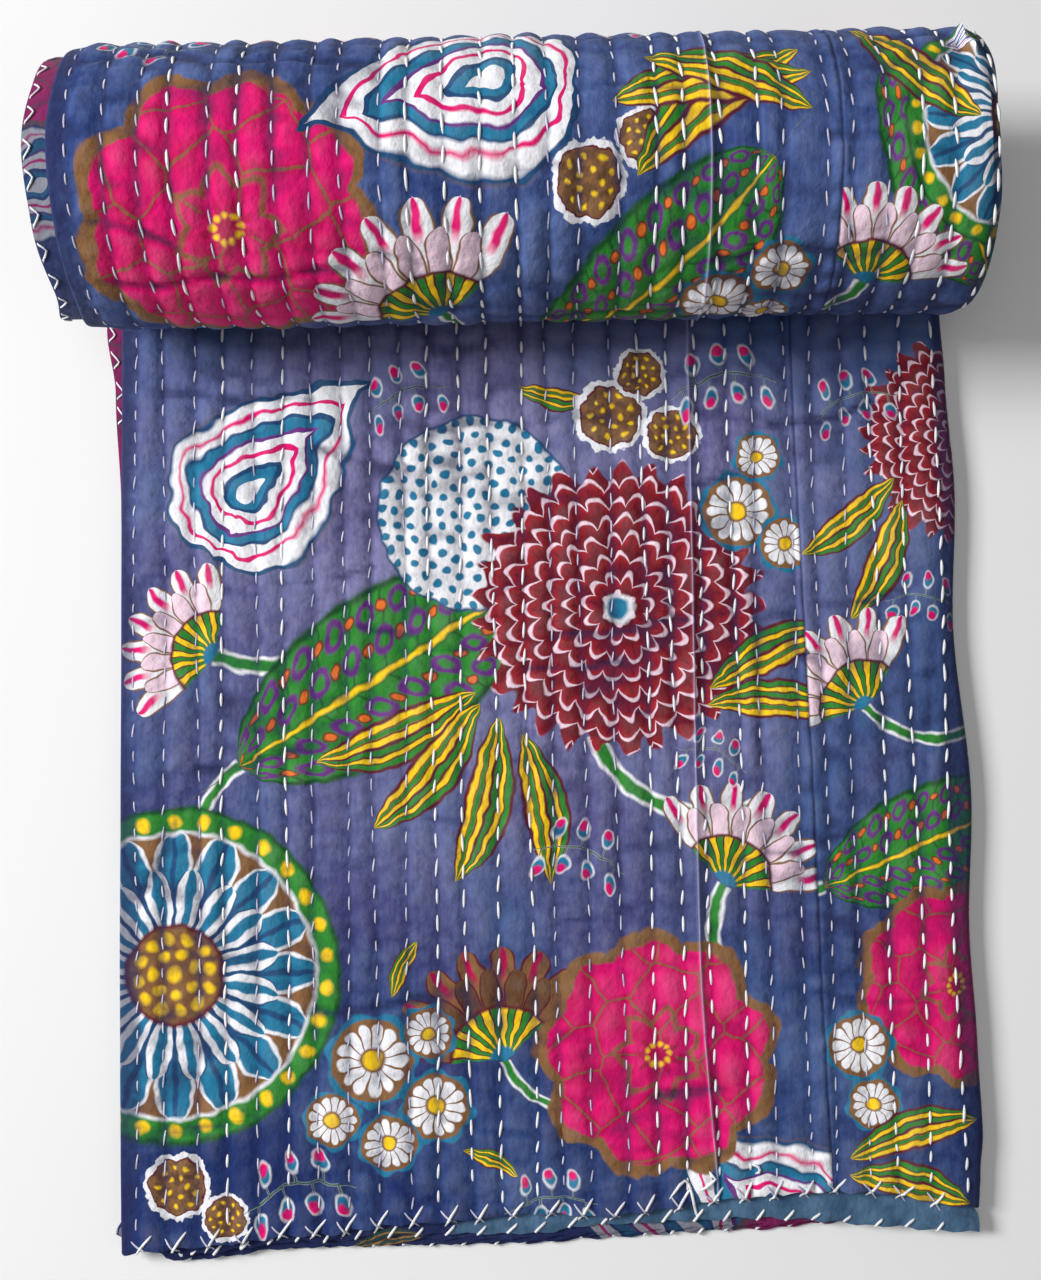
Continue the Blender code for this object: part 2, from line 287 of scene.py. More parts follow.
# %% Height of the quilted surface
RIDGE = 0.0019              # height of the puffed cloth between two rows
SWELL = 0.0013              # slow unevenness of cloth that lies by itself
GAP_LIFT = 0.0005           # rise of the valley where the thread is at the back
WRINKLE = 0.0020            # short wrinkles across the rows
TUCK_HEIGHT = 0.0012        # a narrow pressed tuck runs along the right of the middle
SEAM_DEPTH = 0.0007         # the print changes at a seam near the right edge
LINE_WIDTH = 0.0011         # half width of the tuck and of the seam's groove
LINE_STEPS = (-0.0022, -0.0010, 0.0, 0.0010, 0.0022)
HELD_DOWN = 0.45            # share of a crease that is left under a row of stitches
PUFF_ROUND = 0.8            # below 1, a puff is fuller than a sine's half wave
PUFF_UNEVEN, PUFF_NOISE = 0.45, (22, 48, 5.5)
WRINKLE_NOISE, WRINKLE_LAYER, NEXT_LAYER = (34, 105), 9.5, 0.37
SLANT, SLANT_WAVE = 0.25, 9     # wrinkles slant one way and the other
SWELL_WAVES = ((11, 9, 0), (29, -14, 1.3), (17, 37, 0.6))   # (across, along, shift)
SWELL_UNEVEN, SWELL_NOISE = 0.6, (10, 15, 2.5)

Line = namedtuple("Line", "along, tuck, seam")
LINES = table(Line, """
    0.00 0.1195 0.1922
    0.17 0.1125 0.1895
    0.57 0.1160 0.1840
    0.80 0.1150 0.1890
    1.20 0.1165 0.1905
""")


def ripple(x, along, scale_x, scale_along, layer):
    """Smooth noise from -1 to 1, with its own size each way."""
    return noise.noise(Vector((x * scale_x, along * scale_along, layer)))


def gap_lift(row, along):
    share = (beat(row, along) - STITCHED) / (1 - STITCHED)
    return GAP_LIFT * math.sin(math.pi * share) if share > 0 else 0.0


def swell(x, along):
    """Slow swells: three long waves and a softer, less regular unevenness."""
    waves = sum(math.sin(right * x + up * along + shift) for right, up, shift in SWELL_WAVES)
    return SWELL * (0.5 + waves / 6 + SWELL_UNEVEN * ripple(x, along, *SWELL_NOISE))


def on_line(x, along, line):
    """1 on the tuck or the seam, fading to 0 beside it."""
    off = (x - read_table(LINES, along, line)) / LINE_WIDTH
    return math.exp(-off * off)


def relief(x, along, rows):
    """How far the quilting lifts the cloth at a point."""
    after = bisect.bisect_right(rows, x)
    rise = swell(x, along)
    crown = 0.0
    if 0 < after < ROW_COUNT:
        left, right = rows[after - 1], rows[after]
        share = (x - left) / (right - left)
        crown = math.sin(math.pi * share) ** PUFF_ROUND
        slanted_along = along + SLANT * x * math.sin(SLANT_WAVE * along + after)
        puff = RIDGE * (1.0 + PUFF_UNEVEN * ripple(x, along, *PUFF_NOISE))
        own_layer = WRINKLE_LAYER + NEXT_LAYER * after
        puff += WRINKLE * ripple(x, slanted_along, *WRINKLE_NOISE, own_layer)
        rise += puff * crown
        rise += gap_lift(after - 1, along) * (1 - share) ** 3
        rise += gap_lift(after, along) * share ** 3
    rise += crease_rise(x, along) * (HELD_DOWN + (1 - HELD_DOWN) * crown)
    return rise + TUCK_HEIGHT * on_line(x, along, "tuck") - SEAM_DEPTH * on_line(x, along, "seam")


MIDDLE = 0.3
heights = [relief(x / 500, MIDDLE, rows_at(MIDDLE)) for x in range(-120, 120)]
print("puffs rise up to", round(1000 * max(heights), 2), "mm")

# %% [markdown]
# ### One cut across the bundle
#
# The cut is two lines, one for each face of the cloth, from side hem to side hem. Every
# point knows its place along the folded cloth, its height above layer 1 and its U, the
# distance across the print. Only the face that shows gets the fine points of the quilting:
# layer 5 on the tail, layer 1 on the roll. The hidden faces stay plain, which keeps the
# piece light.

# %% Points of the cut
LAYER_3, TIGHT_FOLD, LAYER_2, LOW_FOLD, LAYER_1, SPINE, LAYER_5, TOP_FOLD, LAYER_4, END = range(10)
SAME_PLACE = 1e-6
COLUMNS_A_ROW = 6
HEM_COLUMNS = 20            # points across a hidden layer where its bottom hem curves
EDGE_COLUMNS = 100          # and where its very edge is scalloped
HEM_ROUND = 0.0009          # a hem's edge is rounded over this length
HEM_THIN = 0.5              # and its very edge is this share of the cloth's thickness
SHOWN_STEPS = (2, 5, 9)     # faces round the tight fold, the outer folds and the spine
HIDDEN_STEPS = (4, 2, 4)

Point = namedtuple("Point", "place, x, level, u, rise, line", defaults=(0.0, 0.0))


def fold(centre, level_from, level_to, side, radius, steps, start):
    """Points round a fold. U runs on round it and turns back halfway."""
    middle = (level_from + level_to) / 2
    way = math.copysign(1.0, level_from - level_to)
    points = []
    for step in range(steps + 1):
        share = step / steps
        x = centre + side * radius * math.sin(math.pi * share)
        level = middle + way * radius * math.cos(math.pi * share)
        u = centre + side * radius * math.pi * min(share, 1 - share)
        points.append(Point(start + share, x, level, u))
    return points


def across(place, x_from, x_to, level, profile):
    """Points on a layer's face between its two ends, where the profile gives (x, rise, line)."""
    points = []
    for x, rise, line in profile:
        if min(x_from, x_to) < x < max(x_from, x_to):
            share = (x - x_from) / (x_to - x_from)
            points.append(Point(place + share, x, level + rise, x, abs(rise), line))
    return sorted(points)


def fine_columns(along):
    """X of every fine point: even steps between the rows, and extra ones at tuck and seam."""
    rows = rows_at(along)
    columns = [rows[-1]]
    for left, right in zip(rows, rows[1:]):
        columns += [left + (right - left) * step / COLUMNS_A_ROW for step in range(COLUMNS_A_ROW)]
    for line in ("tuck", "seam"):
        columns += [read_table(LINES, along, line) + step for step in LINE_STEPS]
    return sorted(columns)


def quilted(along, height):
    """(x, rise, line) of the quilted face. The line is 1 on the tuck and -1 at the seam."""
    rows = rows_at(along)
    profile = []
    for x in fine_columns(along):
        line = on_line(x, along, "tuck") - on_line(x, along, "seam")
        profile.append((x, height * relief(x, along, rows), line))
    return profile


# %% The whole cut
def section(along, quilting_on, height, extra_x=(), thin=1.0):
    """The folded cloth cut across: the points of its shown face and of its hidden face."""
    side = {name: read_table(SIDES, along, name) for name in Side._fields[1:]}
    level = [(layer - 1) * LAYER_PITCH for layer in range(LAYERS + 1)]
    tight_x = side["tight_fold"] - FOLD_REACH
    low_x = side["low_fold"] + FOLD_REACH
    spine_x = side["spine"] - SPINE_REACH
    top_x = side["top_fold"] + FOLD_REACH
    left, right = side["hem_left"], side["hem_right"]
    flat = [(x, 0.0, 0.0) for x in extra_x]
    fine = quilted(along, height) if quilting_on else flat
    under = [(x, -rise, line) for x, rise, line in fine] if quilting_on == "layer 1" else flat
    over = fine if quilting_on == "layer 5" else flat

    def hem_edge(place, x, way, middle, off):
        """A side hem's thin lip, and where the full thickness begins."""
        inner_x = x + way * HEM_ROUND
        return [Point(place, x, middle + off * HEM_THIN, x),
                Point(place + way * SAME_PLACE * 10, inner_x, middle + off, inner_x)]

    def face(half, steps, under, over):
        """One face from hem to hem, half a thickness off the middle, on one side or the other."""
        tight_steps, round_steps, spine_steps = steps
        points = hem_edge(LAYER_3, left, 1, level[3], -half)
        points += across(LAYER_3, left + HEM_ROUND, tight_x, level[3] - half, flat)
        points += fold(tight_x, level[3], level[2], 1, FOLD_RADIUS - half, tight_steps, TIGHT_FOLD)
        points += across(LAYER_2, tight_x, low_x, level[2] + half, flat)
        points += fold(low_x, level[2], level[1], -1, FOLD_RADIUS + half, round_steps, LOW_FOLD)
        points += across(LAYER_1, low_x, spine_x, level[1] - half, under)
        points += fold(spine_x, level[1], level[5], 1, SPINE_RADIUS + half, spine_steps, SPINE)
        points += across(LAYER_5, spine_x, top_x, level[5] + half, over)
        points += fold(top_x, level[5], level[4], -1, FOLD_RADIUS + half, round_steps, TOP_FOLD)
        points += across(LAYER_4, top_x, right - HEM_ROUND, level[4] - half, flat)
        return points + hem_edge(END, right, -1, level[4], -half)[::-1]

    half = HALF_CLOTH * thin
    return face(half, SHOWN_STEPS, under, over), face(-half, HIDDEN_STEPS, flat, flat)


# %% [markdown]
# ### Carrying the cut along
#
# On the tail the cut travels straight, and near the end it bends so that every layer stops
# at its own hem. On the roll it turns round the axis while the radius shrinks by a little
# more than the bundle's thickness each turn, which is what makes a roll a spiral.

# %% Where a point of the cut lies in space
RIDGES_END_Y = ROLL_CENTRE_Y - 0.028    # the roll presses the tail flat from here
FLAT_END_Y = ROLL_CENTRE_Y - 0.010
HEM_FADE = 0.07             # over this length the cuts turn from slanted to straight


def hem_y(place, x):
    """Where the bottom hem ends, at a place along the folded cloth."""
    if place > TOP_FOLD:
        return read_table(BOTTOM_HEM, x, "second")
    if place > SPINE:
        return read_table(BOTTOM_HEM, x, "top")
    steps_back = clamp(TIGHT_FOLD - place) + clamp(LOW_FOLD - place)
    return read_table(BOTTOM_HEM, x, "low") + HEM_RECESS * steps_back


SCALLOP = 0.0008            # each hem stitch pulls the edge in by about this much
SCALLOP_FADE = 0.009        # over this length into the cloth
HEM_PITCH = 0.0215          # from one hem stitch to the next
SCALLOP_LAG = 2.1           # each layer's stitches stand at other places
SCALLOP_UNEVEN, SCALLOP_NOISE = 1.2, (90, 1, 3.5)


def scallop(place, x):
    """How far a bottom hem's edge is drawn in between two of its stitches."""
    wave = math.cos(2 * math.pi * x / HEM_PITCH + SCALLOP_LAG * place)
    return SCALLOP * (wave + SCALLOP_UNEVEN * ripple(x, place, *SCALLOP_NOISE))


def on_tail(y, place, x, level):
    """A point of the tail, and its V along the print."""
    from_hem = y - TAIL_START_Y
    y += (hem_y(place, x) - TAIL_START_Y) * (1 - ease(from_hem / HEM_FADE))
    y += scallop(place, x) * (1 - ease(from_hem / SCALLOP_FADE))
    return Vector((x, y, level + HALF_CLOTH)) - CENTRED, y - TAIL_START_Y


def roll_length(turns):
    return 2 * math.pi * turns * (ROLL_RADIUS - TURN_PITCH * turns / 2)


def roll_turns(along):
    """The turns at a length along the cloth, from the spiral's own length."""
    rest = (along - TAIL_LENGTH) / math.pi
    return (ROLL_RADIUS - math.sqrt(ROLL_RADIUS ** 2 - TURN_PITCH * rest)) / TURN_PITCH


def roll_frame(turns):
    """The middle of the bundle and the way inwards, in the plane across the spiral."""
    angle = 2 * math.pi * turns
    radius = ROLL_RADIUS - TURN_PITCH * turns
    middle = Vector((0, ROLL_CENTRE_Y + WIDER * radius * math.sin(angle),
                     ROLL_HEIGHT_OF_AXIS - LOWER * radius * math.cos(angle)))
    return middle, Vector((0, -LOWER * math.sin(angle), WIDER * math.cos(angle))).normalized()


def on_roll(turns, x, level):
    middle, inward = roll_frame(turns)
    return Vector((x, 0, 0)) + middle + (level - MIDDLE_LEVEL) * inward - CENTRED


def tail_height(y):
    """The quilting fades out where the roll presses on the tail."""
    return ease((RIDGES_END_Y - y) / ROW_PITCH)


PUFFS_FROM, PUFFS_TO, PUFFS_FADE = 0.05, 0.95, 0.06     # turns of the roll that are quilted


def roll_height(turns):
    return ease((turns - PUFFS_FROM) / PUFFS_FADE) * ease((PUFFS_TO - turns) / PUFFS_FADE)


print("the bundle is", round(TAIL_LENGTH + roll_length(TURNS), 2), "m long")

# %% [markdown]
# ### Skinning the sweep
#
# Two cuts with the same points are joined by four-sided faces. Where the fine points begin
# or end, the two lines are zipped together by their places instead. A closed piece needs
# walls at the two side hems and a cap at each end of the bundle as well.

# %% Collect rows and faces
vertices = []
print_places = []           # (U, V) of each vertex
rises = []                  # how far the quilting lifts it, from 0 to 1 at FULL_RISE
lines = []                  # 1 on the tuck and -1 at the seam
FULL_RISE = 0.0040
faces = []
face_places = []            # (place along the cut, "shown" or "hidden") of each face


def add_row(points, to_space):
    """Put one face's line into space: a list of (place, vertex number)."""
    row = []
    for point in points:
        position, v = to_space(point)
        vertices.append(position)
        print_places.append((point.u - CENTRED.x, v))
        rises.append(clamp(point.rise / FULL_RISE))
        lines.append(point.line)
        row.append((point.place, len(vertices) - 1))
    return row


def add_face(corners, place, face):
    faces.append(corners)
    face_places.append((place, face))


def skin(row, next_row, face, turned=False):
    """Faces between two lines, index by index or zipped by place."""
    here = there = 0
    same = len(row) == len(next_row)
    while here < len(row) - 1 or there < len(next_row) - 1:
        place = row[here + 1][0] if here < len(row) - 1 else math.inf
        next_place = next_row[there + 1][0] if there < len(next_row) - 1 else math.inf
        corners = [row[here][1]]
        start = row[here][0]
        if same or place <= next_place + SAME_PLACE:
            here += 1
            corners.append(row[here][1])
        if same or next_place <= place + SAME_PLACE:
            corners.append(next_row[there + 1][1])
        corners.append(next_row[there][1])
        if same or next_place <= place + SAME_PLACE:
            there += 1
        add_face(corners[::-1] if turned else corners, start, face)


def tail_ring(y, quilting_on, extra_x=(), thin=1.0):
    points = section(y - TAIL_START_Y, quilting_on, tail_height(y), extra_x, thin)
    return [add_row(face, lambda p: on_tail(y, p.place, p.x, p.level)) for face in points]


def roll_ring(turns, quilting_on):
    along = TAIL_LENGTH + roll_length(turns)
    points = section(along, quilting_on, roll_height(turns))
    return [add_row(face, lambda p: (on_roll(turns, p.x, p.level), along)) for face in points]


# %% Sweep from the bottom hem to the core of the roll
TAIL_STEP = 0.0033
CREVICE_STEP = 0.006
OUTER_STEPS = 156           # cuts in the outer turn, which shows
INNER_STEPS = 32            # cuts in each turn inside
STEPS_SEEN_Y = 0.300        # nearer the roll the tail hardly shows
HEM_COLUMNS_FROM, HEM_COLUMNS_WIDTH = -0.26, 0.55


def hem_columns(y):
    """Extra points across the hidden layers: many at the scalloped edge, fewer behind it."""
    if y > TAIL_START_Y + HEM_FADE:
        return ()
    count = HEM_COLUMNS if y > TAIL_START_Y + SCALLOP_FADE else EDGE_COLUMNS
    return [HEM_COLUMNS_FROM + HEM_COLUMNS_WIDTH * step / count for step in range(count + 1)]


rings = [tail_ring(TAIL_START_Y, "layer 5", hem_columns(TAIL_START_Y), HEM_THIN)]
y = TAIL_START_Y + HEM_ROUND
while y < RIDGES_END_Y:
    rings.append(tail_ring(y, "layer 5", hem_columns(y)))
    y += TAIL_STEP if y < STEPS_SEEN_Y else CREVICE_STEP
rings.append(tail_ring(RIDGES_END_Y, "layer 5"))
rings.append(tail_ring(FLAT_END_Y, None))
rings.append(roll_ring(0.0, None))
for step in range(1, OUTER_STEPS):
    rings.append(roll_ring(step / OUTER_STEPS, "layer 1"))
for step in range(round((TURNS - 1) * INNER_STEPS) + 1):
    rings.append(roll_ring(1 + step / INNER_STEPS, None))

for (shown, hidden), (next_shown, next_hidden) in zip(rings, rings[1:]):
    skin(shown, next_shown, "shown")
    skin(hidden, next_hidden, "hidden", turned=True)
    add_face([hidden[0][1], next_hidden[0][1], next_shown[0][1], shown[0][1]], LAYER_3, "shown")
    add_face([shown[-1][1], next_shown[-1][1], next_hidden[-1][1], hidden[-1][1]], END, "shown")
skin(rings[0][1], rings[0][0], "shown")
skin(rings[-1][0], rings[-1][1], "shown")
print(len(rings), "cuts,", len(vertices), "points,", len(faces), "faces")

# %% [markdown]
# ### The piece in the scene
#
# Each piece, the cloth first and the threads later, gets its normals turned outwards. It rides
# on the bundle's one body and stands for the one plain solid.

# %% Make the mesh
SHARP_FROM = 55             # degrees between faces from which an edge stays sharp


def add_piece(mesh):
    """Put a mesh into the scene as a piece that rides on the body and stands for the solid."""
    piece = bpy.data.objects.new(mesh.name, mesh)
    bpy.context.scene.collection.objects.link(piece)
    bpy.ops.object.select_all(action="DESELECT")
    piece.select_set(True)
    bpy.context.view_layer.objects.active = piece
    bpy.ops.object.mode_set(mode="EDIT")
    bpy.ops.mesh.select_all(action="SELECT")
    bpy.ops.mesh.normals_make_consistent(inside=False)
    bpy.ops.object.mode_set(mode="OBJECT")
    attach(piece, "root")
    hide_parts("quilt")
    mesh.calc_loop_triangles()
    print(mesh.name + ":", len(mesh.loop_triangles), "triangles")
    return piece


data = bpy.data.meshes.new("quilt_cloth")
data.from_pydata(vertices, [], faces)
layer = data.uv_layers.new(name="print")
for loop in data.loops:
    layer.data[loop.index].uv = print_places[loop.vertex_index]
for name, values in (("rise", rises), ("line", lines)):
    data.attributes.new(name, "FLOAT", "POINT").data.foreach_set("value", values)
quilt_cloth = add_piece(data)
bpy.ops.object.shade_smooth_by_angle(angle=math.radians(SHARP_FROM))

# %% [markdown]
# ## Dye and print
#
# The real cloth is screen printed: flat bright dyes with dark or white outlines on a mottled
# slate ground. An image would be the quick way, but nodes stay sharp at any size and
# repeat nowhere. Each motif is one node group that draws itself round its own centre and
# gives a colour and a mask. To keep the sums readable, a small class lets Python's own signs
# stand for Math nodes.

# %% Node maths written as sums
class Value:
    """A number or colour on its way through a material's nodes."""

    def __init__(self, tree, socket):
        self.tree = tree
        self.socket = socket

    def __add__(self, other):
        return maths("ADD", self, other)

    __radd__ = __add__

    def __sub__(self, other):
        return maths("SUBTRACT", self, other)

    def __rsub__(self, other):
        return maths("SUBTRACT", other, self)

    def __mul__(self, other):
        return maths("MULTIPLY", self, other)

    __rmul__ = __mul__

    def __truediv__(self, other):
        return maths("DIVIDE", self, other)

    def __pow__(self, other):
        return maths("POWER", self, other)


def plug(value, socket):
    """Link a value to a socket, or set a plain number or colour there."""
    if isinstance(value, Value):
        value.tree.links.new(value.socket, socket)
    else:
        socket.default_value = value


def node_values(tree, kind, sockets, outputs, **settings):
    """The values that a new node gives, once it is set and its sockets are plugged."""
    node = tree.nodes.new("ShaderNode" + kind)
    for name, setting in settings.items():
        setattr(node, name, setting)
    for name, value in sockets.items():
        plug(value, node.inputs[name])
    return [Value(tree, node.outputs[output]) for output in outputs]


def node_value(tree, kind, sockets, output=0, **settings):
    return node_values(tree, kind, sockets, [output], **settings)[0]


def maths(operation, *values):
    tree = next(value.tree for value in values if isinstance(value, Value))
    return node_value(tree, "Math", dict(enumerate(values)), operation=operation)


EDGE = 0.012                # usual softness of a printed edge, as a share of the motif's size


def below(value, edge, soft=EDGE):
    """1 below the edge and 0 above it, with a soft step between."""
    sockets = {"From Min": edge - soft, "From Max": edge + soft, "To Min": 1.0, "To Max": 0.0,
               "Value": value}
    return node_value(value.tree, "MapRange", sockets, "Result")


def above(value, edge, soft=EDGE):
    return below(value * -1.0, -edge, soft)


def blend(mask, under, over):
    """One colour over another where the mask is 1."""
    return node_value(mask.tree, "Mix", {0: mask, 6: under, 7: over}, 2, data_type="RGBA")


def coats(colour, *layers):
    """Dyes over a colour, one after another, each where its own mask is 1."""
    for mask, dye in layers:
        colour = blend(mask, colour, dye)
    return colour


def srgb(red, green, blue):
    """A dye as the eye names it, in Blender's linear numbers."""
    return tuple(((part / 255 + 0.055) / 1.055) ** 2.4 for part in (red, green, blue)) + (1.0,)


def noise_value(tree, place, scale, detail=2.0, output="Fac"):
    sockets = {"Scale": scale, "Detail": detail, "Vector": place}
    return node_value(tree, "TexNoise", sockets, output, noise_dimensions="2D")


def group_value(tree, group, output, **inputs):
    """What a node group gives at one of its outputs."""
    return node_value(tree, "Group", inputs, output, node_tree=group)


VECTOR, NUMBER, COLOUR = "NodeSocketVector", "NodeSocketFloat", "NodeSocketColor"


def new_group(name, inputs, outputs, draw):
    """A node group that a function draws from its inputs, and that gives its outputs."""
    tree = bpy.data.node_groups.new(name, "ShaderNodeTree")
    for way, sockets in (("INPUT", inputs), ("OUTPUT", outputs)):
        for label, kind in sockets.items():
            tree.interface.new_socket(label, in_out=way, socket_type=kind)
    start = tree.nodes.new("NodeGroupInput")
    end = tree.nodes.new("NodeGroupOutput")
    results = draw(tree, *[Value(tree, start.outputs[label]) for label in inputs])
    for label, result in zip(outputs, results):
        plug(result, end.inputs[label])
    return tree


# %% Dyes
SLATE_WARM = srgb(84, 82, 134)
# pale slate: the faded dye, and also the painted light on the tail
SLATE_PALE = srgb(138, 134, 176)
INDIGO = srgb(28, 48, 104)
# pale indigo: the faded dye, and also the painted light on the tail
INDIGO_PALE = srgb(70, 94, 144)
BLUE = srgb(42, 64, 122)
BLUE_FADED = srgb(88, 110, 164)
# painted shade for the stitched valleys and the seam's groove; in the valleys it also stands for
# less worn dye
PAINTED_HOLLOW_SHADE = srgb(32, 36, 74)
LILAC = srgb(168, 164, 204)
MAGENTA = srgb(226, 6, 112)
CRIMSON = srgb(184, 8, 76)
BROWN = srgb(134, 94, 56)
UMBER = srgb(104, 70, 44)
MAROON = srgb(96, 26, 40)
DAHLIA = srgb(164, 32, 42)
DAHLIA_DEEP = srgb(112, 18, 32)
GREEN = srgb(44, 132, 44)
LEAF_DEEP = srgb(22, 80, 34)
YELLOW = srgb(254, 207, 20)
TEAL = srgb(34, 120, 158)
TEAL_DEEP = srgb(28, 74, 118)
PURPLE = srgb(104, 46, 128)
ORANGE = srgb(228, 112, 30)
WHITE = srgb(240, 240, 246)
PINK_WHITE = srgb(242, 212, 228)

# %% [markdown]
# ### The ground
#
# Indigo and slate dyes never take evenly. Here the tail is a warm slate near its upper left
# and a deeper indigo towards the other sides, and the length that is rolled up is a fresher
# blue, with cloudy patches a few centimetres wide and streaks along the yarns. Painted light
# makes the tail paler to the right and up towards the roll. The valleys that the stitches pull
# in are darker, partly from wear, which leaves the puffed cloth paler, and partly as painted
# shade. The mesh itself knows how high it stands, in its rise attribute, so wear, painted shade
# and relief always match. A wobble shifts the place that every motif is read at, so that no
# outline looks ruled.

# %% Ground, wobble, wear with painted shade, and weave
WARM_AT = (-0.03, 0.42, 0.0)
WARM_SPREAD = 0.19
# painted light: the tail's ground turns paler to the right and up towards the roll
PAINTED_LIGHT_RIGHT, PAINTED_LIGHT_UP, PAINTED_LIGHT_FROM = 0.28, 0.38, 0.073
FRESH_FROM_V = 0.72         # from here on the cloth is rolled up and less faded
STREAKS = (1.0, 0.12, 1)    # places are drawn out along the yarns by this
WOBBLE = (0.0045, 0.0045, 0)


def draw_ground(tree, place):
    """Mottled indigo, warm slate on the tail and a fresher blue on the roll, with painted light
    that makes the tail paler to the right and up towards the roll.
    """
    away = node_value(tree, "VectorMath", {0: place, 1: WARM_AT}, "Value", operation="DISTANCE")
    clouds = noise_value(tree, place, 13, 3)
    along_yarns = node_value(tree, "VectorMath", {0: place, 1: STREAKS}, operation="MULTIPLY")
    streaks = noise_value(tree, along_yarns, 330, 2)
    grain = noise_value(tree, place, 140, 3)
    warm = below(away + (clouds - 0.5) * 0.35, WARM_SPREAD, 0.13)
    u, v = node_values(tree, "SeparateXYZ", {0: place}, (0, 1))
    rolled = above(v, FRESH_FROM_V, 0.06)
    # painted light, on the tail only; it joins the dye's fading in one mask
    painted_light = (u * PAINTED_LIGHT_RIGHT + v * PAINTED_LIGHT_UP - PAINTED_LIGHT_FROM) * (rolled * -1.0 + 1.0)
    fade_and_painted_light = above(grain * 0.28 + streaks * 0.20 + clouds * 0.65 + painted_light, 0.56, 0.14)
    deep = blend(warm, blend(rolled, INDIGO, BLUE), SLATE_WARM)
    pale = blend(warm, blend(rolled, INDIGO_PALE, BLUE_FADED), SLATE_PALE)
    return [blend(fade_and_painted_light * 0.80, deep, pale)]


def draw_wear_and_painted_shade(tree, place, colour, rise, line):
    """Valleys darker, partly from less worn dye and partly as painted shade, worn crowns paler, a
    pale line on the pressed tuck and painted shade in the seam's groove.
    """
    patches = noise_value(tree, place, 60, 2)
    return [coats(
        # the valleys: partly less worn dye, partly painted shade
        colour, (below(rise + (patches - 0.5) * 0.35, 0.28, 0.22) * 0.76, PAINTED_HOLLOW_SHADE),
        (above(rise, 0.75, 0.30) * 0.06, WHITE),
        (above(line, 0.62, 0.22) * 0.55, LILAC),
        # painted shade in the seam's groove
        (below(line, -0.62, 0.22) * 0.60, PAINTED_HOLLOW_SHADE))]


def draw_wobble(tree, place):
    stray = noise_value(tree, place, 75, 1, "Color")
    return [node_value(tree, "VectorMath", {0: stray, 1: WOBBLE, 2: place},
                       operation="MULTIPLY_ADD")]


def draw_weave(tree, place):
    return [noise_value(tree, place, 150, 2) + noise_value(tree, place, 1300, 1) * 0.12]


ground = new_group("cotton_ground", {"Place": VECTOR}, {"Color": COLOUR}, draw_ground)
wobble = new_group("hand_wobble", {"Place": VECTOR}, {"Place": VECTOR}, draw_wobble)
wear = new_group("wear", {"Place": VECTOR, "Color": COLOUR, "Rise": NUMBER, "Line": NUMBER},
                 {"Color": COLOUR}, draw_wear_and_painted_shade)
weave = new_group("weave", {"Place": VECTOR}, {"Height": NUMBER}, draw_weave)

# %% [markdown]
# ### Round motifs
#
# A dahlia, a rosette, a peony, a daisy, a disc of seeds and a pod are all drawn the same way:
# in rings and angles round a centre, in a space where the motif's radius is 1. So the numbers
# inside a motif are its drawing: places, sizes and soft steps as shares of its radius. Its
# coats of dye are listed from the first printed to the last, as (where, dye).

# %% Helpers for round motifs
TURN = 2 * math.pi
motifs = {}


def motif(draw):
    """Build a motif's node group from a function of its two coordinates."""
    def draw_in(tree, place):
        x, y = node_values(tree, "SeparateXYZ", {0: place}, (0, 1))
        return draw(x, y, place)

    motifs[draw.__name__] = new_group(draw.__name__, {"Place": VECTOR},
                                      {"Color": COLOUR, "Mask": NUMBER}, draw_in)
    return draw


def size_of(value):
    return maths("ABSOLUTE", value)


def radius_of(x, y):
    return maths("SQRT", x * x + y * y)


def angle_of(x, y):
    """The angle in turns, from -0.5 to 0.5."""
    return maths("ARCTAN2", y, x) * (1 / TURN)


def petal_sway(angle, count, shift=0.0):
    """How far off a petal's middle line a point is: 0 on the line, 1 at its sides."""
    return size_of(maths("FRACT", angle * count + shift) * 2.0 - 1.0)


def uneven(x, y, place, strength):
    """Radius and angle round a flower that is drawn freehand: both stray a little."""
    stray = noise_value(x.tree, place, 3.2, 2) - 0.5
    radius = radius_of(x, y)
    return radius * (1.0 + stray * strength), angle_of(x, y) + stray * (0.16 * strength)


def each_its_own(first, second):
    """A different number from 0 to 1 for each pair of whole numbers."""
    pair = node_value(first.tree, "CombineXYZ", {0: first, 1: second})
    return node_value(first.tree, "TexWhiteNoise", {"Vector": pair}, "Value",
                      noise_dimensions="2D")


BEYOND = 60.0               # keeps a shape from running on past its own tips
LEAST = 0.0001              # keeps a share that is divided by above 0


def pointed(radius, angle, count, shift, start, end, fullness):
    """A ring of pointed petals: 0 on a petal's middle line and 1 at its edge."""
    share = (radius - start) / (end - start)
    inside = maths("MAXIMUM", share * (1.0 - share) * 4.0, LEAST)
    beyond = maths("MAXIMUM", size_of(share - 0.5) - 0.5, 0.0)
    return petal_sway(angle, count, shift) / inside ** fullness + beyond * BEYOND


def ring_of_dots(radius, angle, count, shift, at):
    """The distance from the nearest of the dots that stand on a circle."""
    cell = maths("FRACT", angle * count + shift) - 0.5
    return radius_of(cell * (TURN * at / count), radius - at)


RING_SHIFT = 0.37           # each ring of petals is turned on from the one inside it


